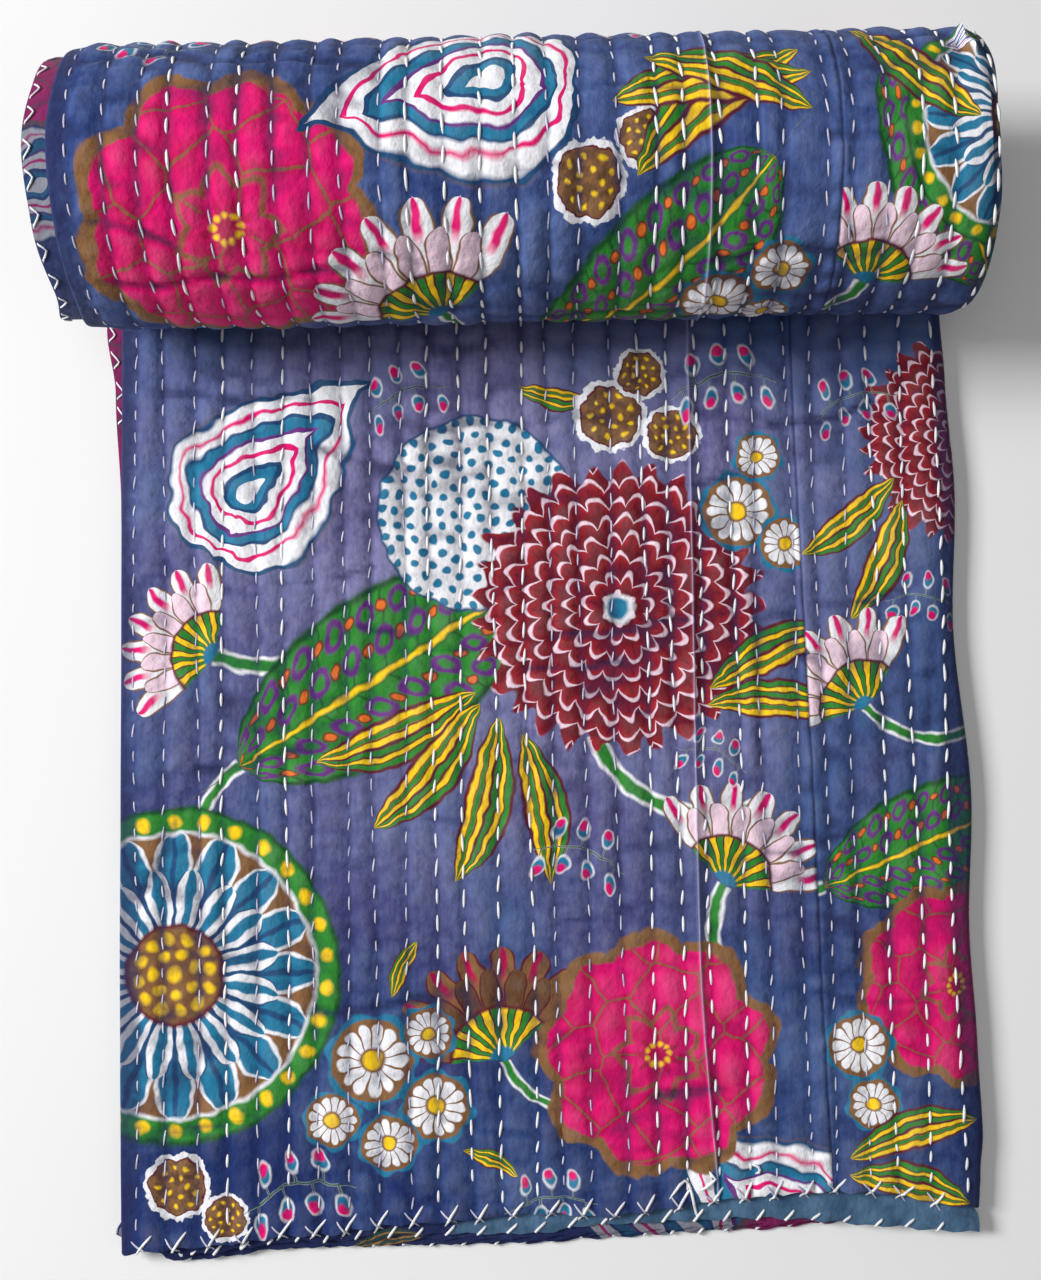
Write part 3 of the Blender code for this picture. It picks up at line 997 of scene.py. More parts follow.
def wrapped_petals(radius, angle, rings, first, more, petal, base, outline):
    """Rings of pointed petals, each tucked under the next one in. More stand in each ring."""
    ring = maths("FLOOR", radius * rings)
    outward = maths("FRACT", radius * rings)
    count = ring * more + first
    sway = petal_sway(angle, count, ring * RING_SHIFT)
    own = each_its_own(ring, maths("FLOOR", angle * count + ring * RING_SHIFT))
    to_tip = outward / (0.99 - 0.62 * sway ** 1.7 - 0.12 * own)
    vein = below(sway, 0.10, 0.06) * below(to_tip, 0.55, 0.15)
    return coats(
        petal, (below(to_tip, 0.30, 0.40), base),
        (own * 0.45, base),
        (vein, base),
        (above(to_tip, 0.80, 0.05), outline),
        (above(to_tip, 1.06, 0.06), base))


# %% Flowers seen from above
@motif
def dahlia(x, y, place):
    radius, angle = uneven(x, y, place, 0.14)
    petals = wrapped_petals(radius, angle, 8.0, 6.0, 5.0, DAHLIA, DAHLIA_DEEP, PINK_WHITE)
    colour = coats(petals, (below(radius, 0.100), WHITE), (below(radius, 0.070), TEAL))
    rim = 0.94 + 0.06 * maths("COSINE", angle * (TURN * 29))
    return colour, below(radius / rim, 0.97)


@motif
def rosette(x, y, place):
    radius, angle = uneven(x, y, place, 0.05)
    long_petal = pointed(radius, angle, 16.0, 0.5, 0.22, 0.84, 0.42)
    short_petal = pointed(radius, angle, 16.0, 0.0, 0.16, 0.62, 0.50)
    colour = coats(
        BROWN, (below(long_petal, 1.00, 0.05), WHITE),
        (below(long_petal, 0.80, 0.05), TEAL),
        (below(long_petal, 0.16, 0.06), TEAL_DEEP),
        (below(short_petal, 1.00, 0.05), TEAL_DEEP),
        (below(short_petal, 0.84, 0.05), WHITE),
        (below(short_petal, 0.34, 0.06), TEAL),
        (below(radius, 0.30), MAROON),
        (below(radius, 0.275), BROWN))
    for count, at, size in ((12.0, 0.215, 0.034), (7.0, 0.120, 0.032), (1.0, 0.0, 0.040)):
        dots = ring_of_dots(radius, angle, count, at, at)
        colour = blend(below(dots, size), colour, YELLOW)
    rim = blend(below(ring_of_dots(radius, angle, 30.0, 0.0, 0.905), 0.040), GREEN, YELLOW)
    colour = coats(
        colour, (above(radius, 0.825), WHITE),
        (above(radius, 0.845), rim),
        (above(radius, 0.965), LEAF_DEEP))
    return colour, below(radius, 0.99)


@motif
def peony(x, y, place):
    radius, angle = uneven(x, y, place, 0.14)
    rim = 0.82 + 0.11 * size_of(maths("SINE", angle * (TURN * 4.5) + 0.4))
    sockets = {"Scale": 2.5, "Randomness": 0.85, "Vector": place}
    fold_line = node_value(x.tree, "TexVoronoi", sockets, "Distance", voronoi_dimensions="2D",
                           feature="DISTANCE_TO_EDGE")
    shade = noise_value(x.tree, place, 2.4, 2)
    heart = petal_sway(angle, 7.0) * 0.12 + radius
    seeds = petal_sway(angle, 9.0) * 0.10 + radius
    colour = coats(
        MAGENTA, (above(shade, 0.56, 0.12) * 0.50, CRIMSON),
        (below(fold_line, 0.09, 0.06) * 0.6, CRIMSON),
        (below(fold_line, 0.018, 0.012), BROWN),
        (below(size_of(heart - 0.36), 0.022, 0.02), BROWN),
        (below(seeds, 0.19, 0.02), CRIMSON),
        (below(ring_of_dots(radius, angle, 9.0, 0.5, 0.085), 0.020), YELLOW),
        (above(radius / rim, 0.96), BROWN))
    return colour, below(radius / rim, 1.07)


@motif
def daisy(x, y, place):
    radius, angle = radius_of(x, y), angle_of(x, y)
    sway = petal_sway(angle, 13.0)
    tip = 0.80 - 0.16 * sway ** 2.5
    white = below(radius / tip, 0.95, 0.03) * below(sway, 0.84, 0.06)
    colour = coats(
        TEAL, (below(radius, 0.87), BROWN),
        (white, WHITE),
        (below(radius, 0.27, 0.03), BROWN),
        (below(radius, 0.20, 0.03), YELLOW))
    rim = 0.98 + 0.06 * maths("COSINE", angle * (TURN * 7))
    return colour, below(radius / rim, 1.0, 0.03)


@motif
def seed_disc(x, y, place):
    """Seeds in circles round the middle, six more in each circle."""
    radius, angle = uneven(x, y, place, 0.08)
    circle = maths("FLOOR", radius * 7.0)
    seed = maths("FRACT", radius * 7.0) - 0.5
    side = maths("FRACT", angle * (circle * 6.0 + 3.0) + circle * 0.3) - 0.5
    dot = below(radius_of(seed, side), 0.29, 0.05)
    colour = coats(WHITE, (dot, TEAL), (above(radius, 0.955), TEAL_DEEP))
    return colour, below(radius, 0.98)


@motif
def pod(x, y, place):
    """A round seed pod, speckled brown in a white rim."""
    radius, angle = uneven(x, y, place, 0.30)
    specks = maths("MINIMUM", ring_of_dots(radius, angle, 9.0, 0.0, 0.56),
                   ring_of_dots(radius, angle, 5.0, 0.5, 0.27))
    colour = coats(
        BROWN, (above(noise_value(x.tree, place, 3.0, 2), 0.5, 0.10), UMBER),
        (below(specks, 0.065, 0.03), YELLOW),
        (above(radius, 0.76), MAROON),
        (above(radius, 0.81), WHITE))
    return colour, below(radius, 0.96)


# %% [markdown]
# ### Side views, leaves and stems
#
# A lotus from the side is two rows of pointed petals over a striped cup, in white or in brown.
# A leaf is a lens between two arcs. The paisley is the old mango shape, with its own outline
# drawn again and again inside it, each time smaller.

# %% Lotus and leaves
LOTUS_SPREAD = 1.22         # radians on either side of its middle


def side_flower(x, y, back_dye, tip_dye, front_dye, outline):
    """Along y, from its stalk at the centre."""
    radius, angle = radius_of(x, y), maths("ARCTAN2", x, y)
    turns = angle * (1 / TURN)
    spread = size_of(angle)
    back = pointed(radius, turns, 18.0, 0.5, 0.20, 1.0, 0.40)
    front = pointed(radius, turns, 18.0, 0.0, 0.14, 0.80, 0.46)
    ray = petal_sway(turns, 18.0, 0.5)
    in_front = below(front, 1.0, 0.05) * below(spread, LOTUS_SPREAD - 0.17, 0.02)
    cup = coats(
        YELLOW, (above(ray, 0.5, 0.04), GREEN),
        (below(size_of(ray - 0.5), 0.10, 0.04), MAROON))
    colour = coats(
        outline, (below(back, 0.84, 0.05), back_dye),
        (below(back, 0.28, 0.10) * above(radius, 0.74, 0.06), tip_dye),
        (in_front, outline),
        (below(front, 0.82, 0.05) * in_front, front_dye),
        (below(radius, 0.49), MAROON),
        (below(radius, 0.46), cup),
        (below(radius, 0.13), TEAL))
    petals = maths("MAXIMUM", below(back, 1.0, 0.04), in_front)
    mask = maths("MAXIMUM", petals, below(radius, 0.49))
    return colour, mask * below(spread, LOTUS_SPREAD, 0.02)


@motif
def lotus(x, y, place):
    return side_flower(x, y, WHITE, MAGENTA, PINK_WHITE, BROWN)


@motif
def brown_lotus(x, y, place):
    return side_flower(x, y, BROWN, CRIMSON, UMBER, MAROON)


def lens(x, y, width, power):
    """A leaf's outline along x from 0 to 1: 0 on its middle line, 1 at its edge."""
    inside = maths("MAXIMUM", x * (1.0 - x) * 4.0, LEAST)
    return size_of(y) / (inside ** power * width)


@motif
def striped_leaf(x, y, place):
    bent = y - 0.10 * maths("SINE", x * 2.6)
    edge = lens(x, bent, 0.150, 0.85)
    upper = above(bent, 0.0, 0.004)
    colour = coats(
        YELLOW, (upper, GREEN),
        (below(size_of(edge - 0.46), 0.10, 0.03), blend(upper, GREEN, YELLOW)),
        (below(size_of(edge - 0.33), 0.04, 0.03), MAROON),
        (below(size_of(edge - 0.58), 0.03, 0.03), MAROON),
        (below(edge, 0.07, 0.03), MAROON),
        (above(edge, 0.84, 0.04), MAROON))
    return colour, below(edge, 1.0, 0.04)


@motif
def broad_leaf(x, y, place):
    """Slanted veins with a purple ring and an orange seed between each two."""
    edge = lens(x, y, 0.24, 0.62)
    aslant = (x - 0.55 * size_of(y)) * 9.0
    cell = maths("FRACT", aslant) - 0.5
    half_cell = maths("FRACT", aslant + 0.5) - 0.5
    ring = maths("MINIMUM", radius_of(cell, (edge - 0.34) * 1.9),
                 radius_of(half_cell, (edge - 0.71) * 1.9))
    seed = maths("MINIMUM", radius_of(half_cell, (edge - 0.34) * 1.9),
                 radius_of(cell, (edge - 0.72) * 2.2))
    colour = coats(
        GREEN, (below(size_of(cell), 0.035, 0.03) * 0.8, LEAF_DEEP),
        (below(ring, 0.31, 0.04), PURPLE),
        (below(ring, 0.15, 0.04), GREEN),
        (below(seed, 0.17, 0.03), MAROON),
        (below(seed, 0.12, 0.03), ORANGE),
        (below(edge, 0.060, 0.02), LEAF_DEEP),
        (below(edge, 0.035, 0.02), YELLOW),
        (above(edge, 0.91, 0.03), LEAF_DEEP))
    return colour, below(edge, 1.0, 0.03)


# %% Paisley
PAISLEY_BOTTOM, PAISLEY_LENGTH = -0.78, 1.73
PAISLEY_HEART = -0.20       # the smaller outlines are drawn round this height
PAISLEY_BANDS = (           # (size of the outline, dye inside it)
    (1.00, TEAL_DEEP), (0.93, WHITE), (0.82, MAGENTA), (0.78, WHITE), (0.70, TEAL_DEEP),
    (0.66, TEAL), (0.55, PURPLE), (0.51, WHITE), (0.42, MAGENTA), (0.37, WHITE),
    (0.27, TEAL_DEEP), (0.21, TEAL), (0.11, WHITE))


def mango(x, y):
    """Inside a mango shape this is below 1. Its tip leans to the right."""
    height = (y - PAISLEY_BOTTOM) / PAISLEY_LENGTH
    share = maths("MAXIMUM", maths("MINIMUM", height, 0.999), 0.001)
    beyond = size_of(height - share)
    width = (share * (1.0 - share) * 4.0) ** 0.5 * (1.0 - share) ** 0.45 * 0.80
    return size_of(x - 0.50 * share ** 3.5) / width + beyond * BEYOND


@motif
def paisley(x, y, place):
    sway_x = x + (noise_value(x.tree, place, 2.6, 1) - 0.5) * 0.22
    sway_y = y + (noise_value(x.tree, place, 3.1, 1) - 0.5) * 0.22
    colour = BROWN
    for size, dye in PAISLEY_BANDS:
        inside = mango(sway_x / size, (sway_y - PAISLEY_HEART) / size + PAISLEY_HEART)
        colour = blend(below(inside, 1.0, 0.03), colour, dye)
    return colour, below(mango(sway_x, sway_y), 1.0, 0.03)


# %% Stems and buds
@motif
def stem(x, y, place):
    """A quarter ring of radius 1."""
    off = size_of(radius_of(x, y) - 1.0)
    ends = above(x, 0.0, 0.01) * above(y, 0.0, 0.01)
    colour = blend(below(off, 0.045), WHITE, GREEN)
    return colour, below(off, 0.075) * ends


@motif
def buds(x, y, place):
    """Seven drops on a thin arched stalk, along x from -1 to 1."""
    arch = y - 0.18 * maths("COSINE", x * 2.2)
    upper = above(arch, 0.0, 0.001)
    cell = (maths("FRACT", x * 2.0 + upper * 0.5) - 0.5) * 0.5
    side = size_of(arch) - 0.36
    drop = radius_of(cell, side * 0.72)
    heart = radius_of(cell + 0.015, (side - 0.10) * 0.8)
    twigs = below(size_of(cell), 0.014, 0.010) * below(side, 0.0, 0.01)
    stalk = maths("MAXIMUM", below(size_of(arch), 0.018, 0.012), twigs)
    drops = maths("MAXIMUM", below(drop, 0.135, 0.02), below(heart, 0.105, 0.02))
    colour = coats(
        WHITE, (below(drop, 0.105, 0.02), TEAL),
        (below(heart, 0.085, 0.02), MAGENTA),
        (stalk * below(drop, 0.14, 0.02) * -1.0 + stalk, LEAF_DEEP))
    inside = below(size_of(x) + upper * 0.25, 0.99, 0.01)
    return colour, maths("MAXIMUM", drops, stalk) * inside


print("motifs:", ", ".join(motifs))

# %% [markdown]
# ### Where the motifs lie
#
# The print is one plane: U runs across the bundle, and V from the bottom hem up the tail and
# on round the roll. The table places each motif one by one, with its size in metres and its
# turn in degrees. Later rows are printed over earlier ones. The cloth was pieced at the seam, so
# what is left of it and what is right of it are two prints that don't meet.

# %% The layout
Place = namedtuple("Place", "motif, u, v, size, turn")


def printed_at(motif_name, u, v, size, turn):
    """A motif's place. A stalk is a stem that hangs from what is turned by so much there."""
    if motif_name != "stalk":
        return Place(motif_name, u, v, size, turn)
    lean = math.radians(turn)
    return Place("stem", u + size * math.cos(lean), v + size * math.sin(lean), size, turn + 180)


MAIN_PRINT = table(printed_at, """
    stalk -0.185 0.300 0.060 -58
    stalk -0.200 0.372 0.078 65
    stalk 0.125 0.218 0.065 -28
    stalk -0.045 1.010 0.060 150
    stalk 0.045 0.315 0.080 20
    broad_leaf -0.185 0.300 0.225 32
    seed_disc -0.030 0.462 0.066 12
    dahlia 0.062 0.398 0.100 0
    striped_leaf -0.032 0.345 0.112 200
    striped_leaf -0.030 0.338 0.105 226
    striped_leaf -0.018 0.328 0.108 252
    striped_leaf -0.002 0.318 0.098 276
    paisley -0.172 0.495 0.088 -25
    lotus -0.200 0.372 0.062 65
    rosette -0.228 0.168 0.108 0
    paisley 0.150 0.010 0.075 80
    stalk -0.018 0.110 0.045 20
    brown_lotus -0.018 0.110 0.072 20
    peony 0.080 0.112 0.080 0
    lotus 0.125 0.218 0.066 -28
    daisy -0.102 0.112 0.030 10
    daisy -0.062 0.082 0.024 40
    daisy -0.092 0.060 0.020 0
    daisy -0.128 0.075 0.019 70
    daisy -0.066 0.128 0.018 25
    striped_leaf -0.090 0.150 0.040 60
    striped_leaf -0.045 0.055 0.038 -30
    striped_leaf 0.120 0.345 0.095 20
    striped_leaf 0.118 0.335 0.088 -8
    striped_leaf 0.050 0.535 0.052 165
    pod 0.060 0.525 0.025 0
    pod 0.100 0.512 0.020 50
    pod 0.080 0.553 0.018 120
    daisy 0.142 0.460 0.026 0
    daisy 0.172 0.438 0.019 20
    daisy 0.156 0.496 0.017 40
    buds 0.135 0.545 0.036 8
    buds 0.120 0.300 0.024 -20
    paisley -0.271 0.008 0.008 0
    pod -0.226 0.036 0.022 0
    pod -0.196 0.016 0.016 80
    buds -0.150 0.030 0.036 12
    buds 0.032 0.238 0.032 -15
    buds -0.075 0.540 0.030 20
    buds 0.010 0.020 0.030 5
    broad_leaf 0.020 1.055 0.190 -48
    peony -0.165 0.945 0.090 30
    paisley -0.030 0.865 0.090 100
    lotus -0.045 1.010 0.080 150
    pod 0.042 0.925 0.023 0
    pod 0.074 0.903 0.017 60
    striped_leaf 0.165 0.850 0.120 140
    striped_leaf 0.170 0.870 0.115 170
    striped_leaf 0.168 0.890 0.100 198
    daisy 0.120 1.000 0.026 0
    daisy 0.155 0.975 0.020 30
    daisy 0.150 1.015 0.017 10
    buds -0.215 0.820 0.036 30
    buds 0.070 0.800 0.034 -10
    dahlia -0.120 0.735 0.085 0
    seed_disc 0.060 0.700 0.055 0
    rosette -0.150 1.130 0.085 0
""")
EDGE_PRINT = table(printed_at, """
    dahlia 0.292 0.505 0.072 0
    striped_leaf 0.245 0.480 0.080 215
    striped_leaf 0.250 0.465 0.085 242
    buds 0.220 0.530 0.030 15
    buds 0.262 0.398 0.026 -10
    stalk 0.222 0.330 0.055 38
    stalk 0.190 0.215 0.050 -68
    stalk 0.205 0.985 0.060 -160
    lotus 0.222 0.330 0.064 38
    broad_leaf 0.190 0.215 0.150 22
    peony 0.272 0.152 0.066 20
    daisy 0.208 0.115 0.022 0
    daisy 0.216 0.078 0.018 30
    striped_leaf 0.200 0.045 0.085 12
    striped_leaf 0.198 0.035 0.080 -18
    broad_leaf 0.215 0.860 0.150 62
    rosette 0.290 0.895 0.070 0
    lotus 0.205 0.985 0.058 -160
    striped_leaf 0.200 0.820 0.100 48
    paisley 0.259 0.843 0.012 95
    peony 0.250 0.730 0.060 0
    paisley 0.235 1.110 0.070 0
""")

# %% Printed plates
PLATES_U = (-0.40, -0.14, -0.01, 0.10, 0.40)
PLATES_V = (-0.05, 0.10, 0.20, 0.30, 0.42, 0.60, 0.78, 0.90, 1.02, 1.20, 3.00)
MOTIF_REACH = 1.12          # a motif stays inside this many times its size
BUMP_HEIGHT = 0.0011


def near(place, left, right, bottom, top):
    """True if a motif may print on a plate."""
    reach = place.size * MOTIF_REACH
    beside = left - reach < place.u < right + reach
    return beside and bottom - reach < place.v < top + reach


def matt_material(name, roughness, sheen):
    material = bpy.data.materials.new(name)
    material.use_nodes = True
    shader = material.node_tree.nodes["Principled BSDF"]
    shader.inputs["Roughness"].default_value = roughness
    shader.inputs["Sheen Weight"].default_value = sheen
    return material, material.node_tree, shader


def cloth_material(name):
    """A matt cotton material, its node tree, the place on the print and its shader."""
    material, tree, shader = matt_material(name, 0.86, 0.04)
    shader.inputs["Specular IOR Level"].default_value = 0.15
    shader.inputs["Sheen Roughness"].default_value = 0.5
    place = node_value(tree, "UVMap", {}, uv_map="print")
    height = group_value(tree, weave, "Height", Place=place)
    bump = node_value(tree, "Bump", {"Distance": BUMP_HEIGHT, "Height": height}, "Normal")
    plug(bump, shader.inputs["Normal"])
    return material, tree, place, shader


def plate_material(name, places=()):
    """Printed cloth, each of its motifs turned and sized round its own centre."""
    material, tree, place, shader = cloth_material(name)
    colour = group_value(tree, ground, "Color", Place=place)
    drawn_at = group_value(tree, wobble, "Place", Place=place)
    for item in places:
        sockets = {"Location": (item.u, item.v, 0), "Rotation": (0, 0, math.radians(item.turn)),
                   "Scale": (item.size, item.size, 1), "Vector": drawn_at}
        own_place = node_value(tree, "Mapping", sockets, vector_type="TEXTURE")
        dye, mask = node_values(tree, "Group", {"Place": own_place}, ("Color", "Mask"),
                                node_tree=motifs[item.motif])
        colour = blend(mask, colour, dye)
    rise, line = (node_value(tree, "Attribute", {}, "Fac", attribute_name=name)
                  for name in ("rise", "line"))
    # wear and painted shade, read from how high the cloth stands
    worn_and_shaded = group_value(tree, wear, "Color", Place=place, Color=colour, Rise=rise, Line=line)
    plug(worn_and_shaded, shader.inputs["Base Color"])
    return material


def slot_of(values, value):
    """Which span of a row of edges a value falls in."""
    return min(max(bisect.bisect_right(values, value) - 1, 0), len(values) - 2)


slots = {}


def slot_for(name, make, *details):
    """The number of a material slot on the cloth, made when it is first asked for."""
    if name not in slots:
        slots[name] = len(data.materials)
        data.materials.append(make(name, *details))
    return slots[name]


def front_slot(u, v):
    """The slot of the printed face at a place on the print."""
    band = slot_of(PLATES_V, v)
    layout, name, left, right = EDGE_PRINT, "print_edge", -1, 1
    if u <= read_table(LINES, v, "seam") - CENTRED.x:
        column = slot_of(PLATES_U, u)
        layout, name, left, right = MAIN_PRINT, f"print_{column}", *PLATES_U[column:column + 2]
    places = [item for item in layout if near(item, left, right, *PLATES_V[band:band + 2])]
    return slot_for(f"{name}_{band}", plate_material, places)


# %% Hem bands and the plain inside
BAND = srgb(82, 114, 144)
BAND_DEEP = srgb(56, 84, 112)
HEM_STRIP = 0.030           # the lower layers show over this length at the bottom hem
SIDE_STRIP = 0.3            # and the side hem over this share of layer 3
BAND_FROM_U = -0.055        # the second layer's plain band begins here
SIDE_PRINT_STEP = 0.29      # from one motif of the side hem to its next like


def band_material(name):
    """The plain dark border of the second layer."""
    material, tree, place, shader = cloth_material(name)
    clouds = above(noise_value(tree, place, 60, 3), 0.5, 0.2)
    plug(blend(clouds, BAND_DEEP, BAND), shader.inputs["Base Color"])
    return material


HEM_PRINT = table(printed_at, """
    paisley 0.085 0.0 0.080 90
    peony 0.160 -0.02 0.040 0
    striped_leaf -0.120 -0.01 0.050 10
    paisley -0.269 0.006 0.009 0
""")
for motif_name, u, v, size, turn in (("peony", -0.290, 0.535, 0.075, 0),
                                     ("paisley", -0.280, 0.630, 0.050, 90)):
    HEM_PRINT += tuple(Place(motif_name, u, v + SIDE_PRINT_STEP * step, size, turn)
                       for step in range(6))

for polygon in data.polygons:
    place, face = face_places[polygon.index]
    u, v = (sum(print_places[corner][axis] for corner in polygon.vertices) / len(polygon.vertices)
            for axis in (0, 1))
    if face == "shown" and place >= LOW_FOLD:
        polygon.material_index = front_slot(u, v)
    elif v < HEM_STRIP and place >= TOP_FOLD and u > BAND_FROM_U:
        polygon.material_index = slot_for("hem_band", band_material)
    elif v < HEM_STRIP or place < LAYER_3 + SIDE_STRIP:
        polygon.material_index = slot_for("hem_print", plate_material, HEM_PRINT)
    else:
        polygon.material_index = slot_for("plain", plate_material)
print("the cloth wears", len(slots), "materials")

# %% [markdown]
# ## Running stitches
#
# The thread is soft thick cotton. Each stitch comes up, lies in its valley for about a
# centimetre and dives again, so it is fat in the middle and pointed at both ends. A curve
# with a bevel would be as thick at its ends, so each stitch is a small spindle of its own,
# and all of them are joined in one piece. Some rows are thick and white, others fine and
# grey, as sewn by two hands.

# %% The face that the thread lies on
def outer_face(x, along):
    """A point of the face that shows, and the way out of the cloth there."""
    rows = rows_at(along)
    if along < TAIL_LENGTH:
        y = TAIL_START_Y + along
        top = (LAYERS - 1) * LAYER_PITCH + HALF_CLOTH
        point, _ = on_tail(y, LAYER_5 + 0.5, x, top + tail_height(y) * relief(x, along, rows))
        return point, Vector((0, 0, 1))
    turns = roll_turns(along)
    _, inward = roll_frame(turns)
    rise = roll_height(turns) * relief(x, along, rows)
    return on_roll(turns, x, -HALF_CLOTH - rise), -inward


# %% A spindle of thread
THREAD_SIDES = 5
THREAD_STEPS = 5
SUNK = 0.0005               # how far a stitch's ends dive below the face
END_WIDTH, END_HEIGHT = 0.3, 0.4    # shares of its width and height that are left at an end
FULLER = 0.7                # below 1, a stitch fills out fast from its ends

Thread = namedtuple("Thread", "width, height, finish, least, most", defaults=(0, 0))
THICK = Thread(0.0021, 0.0013, 0, 0.52, 0.74)   # a stitch takes from least to most of its pitch
FINE = Thread(0.0014, 0.0009, 1, 0.44, 0.66)


class Sewing:
    """Collects stitches, and makes one joined mesh of them."""

    def __init__(self):
        self.vertices = []
        self.faces = []
        self.finishes = []

    def stitch(self, path, thread, ends=0.5):
        """A spindle along a path of (point, way out). Each end tapers over this share of it."""
        last = len(path) - 1
        rings = []
        for step, (point, out) in enumerate(path):
            full = math.sin(math.pi / 2 * clamp(min(step, last - step) / last / ends))
            ahead = path[min(step + 1, last)][0] - path[max(step - 1, 0)][0]
            sideways = ahead.cross(out).normalized()
            middle = point + out * (thread.height / 2 * math.sqrt(full) - SUNK * (1 - full))
            wide = thread.width / 2 * (END_WIDTH + (1 - END_WIDTH) * full ** FULLER)
            tall = thread.height / 2 * (END_HEIGHT + (1 - END_HEIGHT) * full ** FULLER)
            rings.append(len(self.vertices))
            for side in range(THREAD_SIDES):
                angle = TURN * side / THREAD_SIDES
                self.vertices.append(middle + sideways * wide * math.cos(angle)
                                     + out * tall * math.sin(angle))
        self.close(rings, thread.finish)

    def close(self, rings, finish):
        """Sides between the rings, and both ends."""
        loop = range(THREAD_SIDES)
        for ring, after in zip(rings, rings[1:]):
            for side in loop:
                turn = (side + 1) % THREAD_SIDES
                self.faces.append((ring + side, ring + turn, after + turn, after + side))
        self.faces.append([rings[0] + side for side in reversed(loop)])
        self.faces.append([rings[-1] + side for side in loop])
        self.finishes += [finish] * (len(self.faces) - len(self.finishes))

    def make(self, name, finishes):
        mesh = bpy.data.meshes.new(name)
        mesh.from_pydata(self.vertices, [], self.faces)
        for material in finishes:
            mesh.materials.append(material)
        mesh.polygons.foreach_set("material_index", self.finishes)
        piece = add_piece(mesh)
        bpy.ops.object.shade_smooth()
        return piece


# %% Thread finishes
TWIST_HEIGHT = 0.0003


def thread_material(name, pale, dull):
    """Twisted cotton thread, a little uneven in colour."""
    material, tree, shader = matt_material(name, 0.8, 0.2)
    place = node_value(tree, "TexCoord", {}, "Object")
    patches = above(noise_value(tree, place, 90, 1), 0.5, 0.2)
    plug(blend(patches, dull, pale), shader.inputs["Base Color"])
    sockets = {"Distance": TWIST_HEIGHT, "Height": noise_value(tree, place, 1600, 1)}
    plug(node_value(tree, "Bump", sockets, "Normal"), shader.inputs["Normal"])
    return material


FINISHES = [thread_material("thread_white", srgb(250, 250, 250), srgb(226, 226, 232)),
            thread_material("thread_grey", srgb(216, 214, 230), srgb(168, 166, 194))]


# %% Sew the rows
WHITE_ROWS = (3, 5, 10, 11, 12, 13, 17, 18, 19, 20, 25, 26, 27)
SEWN_FROM = 0.008           # lengths along the cloth where rows begin and end
SEWN_TO = 1.128
UNDER_ROLL = 0.03           # no stitches are made from the crevice to this far under the roll
START_STRAY = 0.0011
LEAN = 0.0007
ONE_WAY = 0.3               # share of the lean that all stitches have in common

running = Sewing()
for row in range(ROW_COUNT):
    thread = THICK if row in WHITE_ROWS else FINE
    pitch = ROW_STITCH[row]
    beats = math.ceil(SEWN_FROM / pitch + ROW_PHASE[row])
    while True:
        start = (beats - ROW_PHASE[row]) * pitch + random.uniform(-START_STRAY, START_STRAY)
        end = start + pitch * random.uniform(thread.least, thread.most)
        lean = random.uniform(-LEAN, LEAN) + ONE_WAY * LEAN
        beats += 1
        if end > SEWN_TO:
            break
        if start > RIDGES_END_Y - TAIL_START_Y and end < TAIL_LENGTH + UNDER_ROLL:
            continue
        path = []
        for share in (step / THREAD_STEPS for step in range(THREAD_STEPS + 1)):
            along = start + (end - start) * share
            path.append(outer_face(row_x(row, along) + lean * (2 * share - 1), along))
        running.stitch(path, thread)
running_stitches = running.make("running_stitches", FINISHES)

# %% [markdown]
# ## Sewing on the hems
#
# The raw edges are turned in and closed with a coarse cross stitch on the top layer, and
# whipped over the edge on the layers below and along the side. Each cross is a thick white
# slanted stitch over a finer grey one. The stitches bridge from one layer down to the next,
# so a function first finds how high the cloth lies at any place near the bottom hem.

# %% Heights near the bottom hem
LAYERS_DOWN = ((4, LAYER_4 + 0.5), (3, LAYER_3 + 0.5), (2, LAYER_2 + 0.5), (1, LAYER_1 + 0.5))
UP = Vector((0, 0, 1))
TAUT = 0.0022               # a stitch comes down from the edge over this length
EDGE_OUT = 0.0004           # a whip stitch stands this far off the edge
EDGE_DROP = 1.6             # and comes down by so much for each length that it has left
OVER_EDGE = Vector((0, -1, 0.4)).normalized()


def edge_y(place, x):
    return hem_y(place, x) + scallop(place, x)


def ledge_height(x, y, upper):
    """Height of the highest layer under the given one that reaches out to a place.

    Where none does, as at the left corner, it is the underside of the given layer.
    """
    for layer, place in LAYERS_DOWN:
        if layer < upper and edge_y(place, x) < y:
            return (layer - 1) * LAYER_PITCH + CLOTH
    return (upper - 1) * LAYER_PITCH - HALF_CLOTH


def near_hem(x, inward):
    """A point at a distance inwards from the top layer's hem, or outwards if negative."""
    if inward >= 0:
        return outer_face(x, inward)
    y = edge_y(LAYER_5 + 0.5, x) + inward
    top, low = (LAYERS - 1) * LAYER_PITCH + CLOTH, ledge_height(x, y, LAYERS)
    height = low + (top - low) * clamp(1 + inward / TAUT)
    return Vector((x, y, height)) - CENTRED, UP


def on_ledge(layer, place, x, inward):
    """A point on a lower layer near its own hem, wrapped round its edge."""
    y = edge_y(place, x) + max(inward, -EDGE_OUT)
    height = (layer - 1) * LAYER_PITCH + CLOTH
    if inward >= 0:
        return Vector((x, y, height)) - CENTRED, UP
    return Vector((x, y, height + EDGE_DROP * inward)) - CENTRED, OVER_EDGE


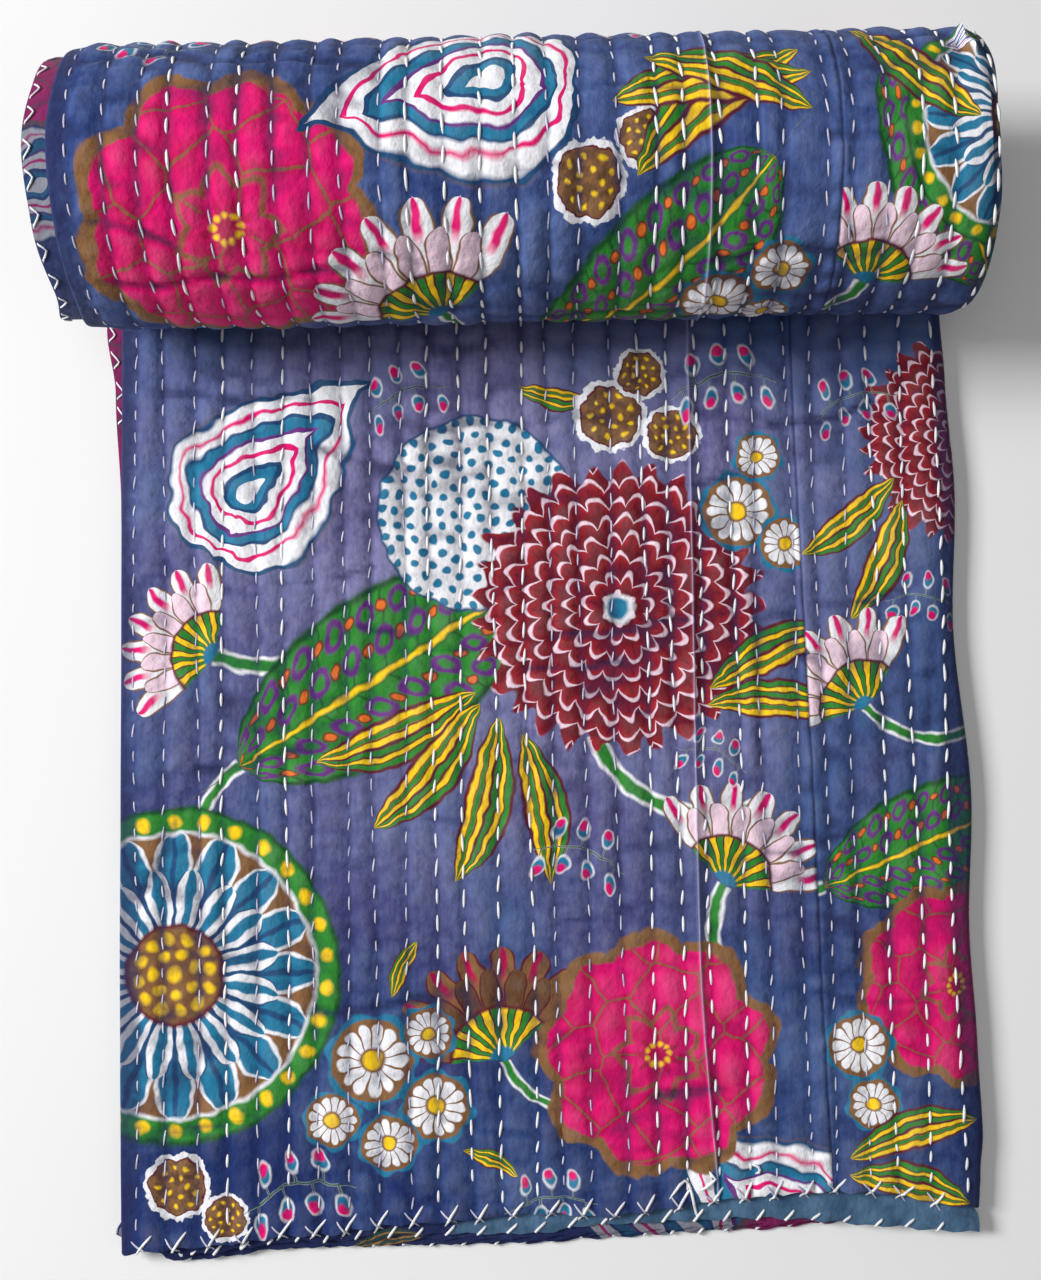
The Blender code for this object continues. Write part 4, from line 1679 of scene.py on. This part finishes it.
# %% Cross stitch on the top hem
THICK_HEM = Thread(0.0019, 0.0012, 0)
FINE_HEM = Thread(0.0014, 0.0009, 1)
HEM_FROM_X, HEM_TO_X = -0.250, 0.282
CROSS_ROOM, WHIP_ROOM = 0.012, 0.008    # no stitch begins nearer to the right end
HEM_STEPS = 8
TAPER = 0.3                 # share of a hem stitch over which each end tapers
CORNER_X = -0.240           # left of this the top layer's corner lies on nothing
CORNER_OUT_BY = 0.0010      # so the stitches there hardly reach past it


def slanted(place_of, x, x_way, from_inward, to_inward):
    """A straight slanted path, through a function of x and the distance inwards."""
    shares = [step / HEM_STEPS for step in range(HEM_STEPS + 1)]
    return [place_of(x + x_way * share, from_inward + (to_inward - from_inward) * share)
            for share in shares]


hem_sewing = Sewing()
x = HEM_FROM_X
while x < HEM_TO_X - CROSS_ROOM:
    out_by = random.uniform(0.0030, 0.0055)
    reach = random.uniform(0.0090, 0.0130)
    width = random.uniform(0.0090, 0.0125)
    back = random.uniform(0.0085, 0.0110)
    if x < CORNER_X:
        out_by = CORNER_OUT_BY
    grey_path = slanted(near_hem, x - 0.25 * back, back, 0.7 * reach, -out_by)
    hem_sewing.stitch(grey_path, FINE_HEM, TAPER)
    hem_sewing.stitch(slanted(near_hem, x, width, -out_by, reach), THICK_HEM, TAPER)
    x += HEM_PITCH * random.uniform(0.86, 1.12)


# %% Whipped lower hems
WHIP_PITCH = 0.0190
WHIP_START = 0.012          # each layer's stitches begin further in
WHIP_MIDDLE = 0.004         # a whip stitch's middle lies this far right of its start
WHIP_WRAP = 0.0009          # and it wraps this far round the edge
SIDE_THREAD = Thread(0.0014, 0.0010, 0)
LEAST_LEDGE = 0.0020        # where less of a layer shows, its stitches are hidden


def whip(layer, place, higher):
    """Short slanted stitches over the edge of a lower layer, where it shows."""
    x = HEM_FROM_X + WHIP_START * layer
    while x < HEM_TO_X - WHIP_ROOM:
        middle_x = x + WHIP_MIDDLE
        shown = min(edge_y(other, middle_x) for other in higher) - edge_y(place, middle_x)
        if shown > LEAST_LEDGE:
            reach = min(random.uniform(0.0050, 0.0075), shown - 0.0006)
            path = slanted(lambda px, inward: on_ledge(layer, place, px, inward),
                           x, reach * 1.1, -WHIP_WRAP, reach)
            hem_sewing.stitch(path, THICK_HEM, 0.25)
        x += WHIP_PITCH * random.uniform(0.85, 1.15)


TOP_HEM, SECOND_HEM, LOW_HEM = LAYER_5 + 0.5, LAYER_4 + 0.5, LAYER_1 + 0.5
whip(4, SECOND_HEM, [TOP_HEM])
whip(1, LOW_HEM, [TOP_HEM, SECOND_HEM])

# %% Whipped side hem
SIDE_FROM = 0.515           # lengths along the cloth between which the side hem shows
SIDE_TO = TAIL_LENGTH + roll_length(TURNS) - 0.01
SIDE_REACH = 0.0055
SIDE_LENGTH = 0.0150
SIDE_LEVEL = 2 * LAYER_PITCH
# (share of the length, share of the reach, share of the way up to the face)
ZIGZAG = ((0.0, 0.0, 0.2), (0.12, 0.30, 1.0), (0.24, 0.75, 1.0), (0.36, 1.00, 1.0),
          (0.52, 0.78, 1.0), (0.76, 0.32, 1.0), (1.0, 0.0, 0.2))


def side_hem_path(along, face):
    """One stitch on a face of layer 3: from the edge inwards and back to the edge."""
    path = []
    for share, reach, on_face in ZIGZAG:
        length = along + SIDE_LENGTH * share
        x = read_table(SIDES, length, "hem_left") + reach * SIDE_REACH
        level = SIDE_LEVEL + face * on_face * HALF_CLOTH
        if length < TAIL_LENGTH:
            point, _ = on_tail(TAIL_START_Y + length, LAYER_3 + 0.01, x, level)
            rising = UP
        else:
            turns = roll_turns(length)
            point, rising = on_roll(turns, x, level), roll_frame(turns)[1]
        out = rising * (face * on_face) + Vector((-1, 0, 0)) * (1 - on_face)
        path.append((point, out.normalized()))
    return path


along = SIDE_FROM
while along < SIDE_TO:
    hem_sewing.stitch(side_hem_path(along, -1), SIDE_THREAD, TAPER)
    hem_sewing.stitch(side_hem_path(along + WHIP_PITCH / 2, 1), SIDE_THREAD, TAPER)
    along += WHIP_PITCH * random.uniform(0.88, 1.12)


# %% Loose threads
LOOSE = Thread(0.0020, 0.0014, 0, 0, 0)
LOOSE_THREADS = (           # (x, distance inwards from the top hem)
    ((0.0879, 0.0060), (0.0920, 0.0115), (0.0950, 0.0160), (0.0984, 0.0185), (0.1010, 0.0150),
     (0.1026, 0.0080), (0.1036, 0.0015), (0.1045, -0.0030), (0.1056, -0.0075), (0.1064, -0.0105)),
    ((0.1135, 0.0243), (0.1155, 0.0205), (0.1180, 0.0167), (0.1150, 0.0135), (0.1110, 0.0108),
     (0.1068, 0.0085)),
    ((0.1404, 0.0269), (0.1430, 0.0266), (0.1452, 0.0248), (0.1461, 0.0218), (0.1452, 0.0190),
     (0.1429, 0.0176)),
    ((-0.2235, -0.0032), (-0.2215, -0.0052), (-0.2180, -0.0060), (-0.2145, -0.0048),
     (-0.2116, -0.0025)),
)
for places in LOOSE_THREADS:
    hem_sewing.stitch([near_hem(x, inward) for x, inward in places], LOOSE, 0.15)
hem_stitches = hem_sewing.make("hem_stitches", FINISHES)

# %% Camera
LENS, SENSOR = 52.6, 36.0   # mm; the frame's width is the sensor's
EYE = Vector((0.0, 0.0, 1.0)) - CENTRED
TILT, YAW = 4.5, -1.2       # degrees: the look goes a little towards the roll

camera = bpy.data.objects.new("camera", bpy.data.cameras.new("camera"))
bpy.context.scene.collection.objects.link(camera)
camera.data.sensor_fit = "HORIZONTAL"
camera.data.sensor_width = SENSOR
camera.data.lens = LENS
camera.location = EYE
turned = Matrix.Rotation(math.radians(YAW), 4, "Z") @ Matrix.Rotation(math.radians(TILT), 4, "X")
camera.rotation_mode = "QUATERNION"
camera.rotation_quaternion = turned.to_quaternion()
bpy.context.scene.camera = camera

# %% Floor and light
FLOOR_SIZE, FLOOR_DROP = 12, 0.0005     # the floor lies just under the cloth
PAPER = (0.86, 0.86, 0.86, 1)
SKY = 0.14                  # the even light from all round

bpy.ops.mesh.primitive_plane_add(size=FLOOR_SIZE, location=(0, 0, -FLOOR_DROP))
floor = bpy.context.active_object
floor.name = "floor"
paper = bpy.data.materials.new("floor")
paper.use_nodes = True
shader = paper.node_tree.nodes["Principled BSDF"]
shader.inputs["Base Color"].default_value = PAPER
shader.inputs["Roughness"].default_value = 0.9
floor.data.materials.append(paper)

world = bpy.data.worlds.new("studio")
world.use_nodes = True
sky = world.node_tree.nodes["Background"]
sky.inputs["Color"].default_value = (1, 1, 1, 1)
sky.inputs["Strength"].default_value = SKY
bpy.context.scene.world = world
bpy.context.scene.view_settings.view_transform = "Standard"

Lamp = namedtuple("Lamp", "name, place, size, watts")
LAMPS = (
    Lamp("window", (-3.0, 0.70, 2.0), 1.2, 162),
    Lamp("ceiling", (-0.3, -0.1, 3.0), 1.5, 14),
    Lamp("fill", (1.6, -1.0, 1.8), 1.6, 4),
)
for lamp in LAMPS:
    light = bpy.data.lights.new(lamp.name, "AREA")
    light.size = lamp.size
    light.energy = lamp.watts
    holder = bpy.data.objects.new(lamp.name, light)
    holder.location = lamp.place
    holder.rotation_mode = "QUATERNION"
    holder.rotation_quaternion = (-Vector(lamp.place)).to_track_quat("-Z", "Y")
    bpy.context.scene.collection.objects.link(holder)
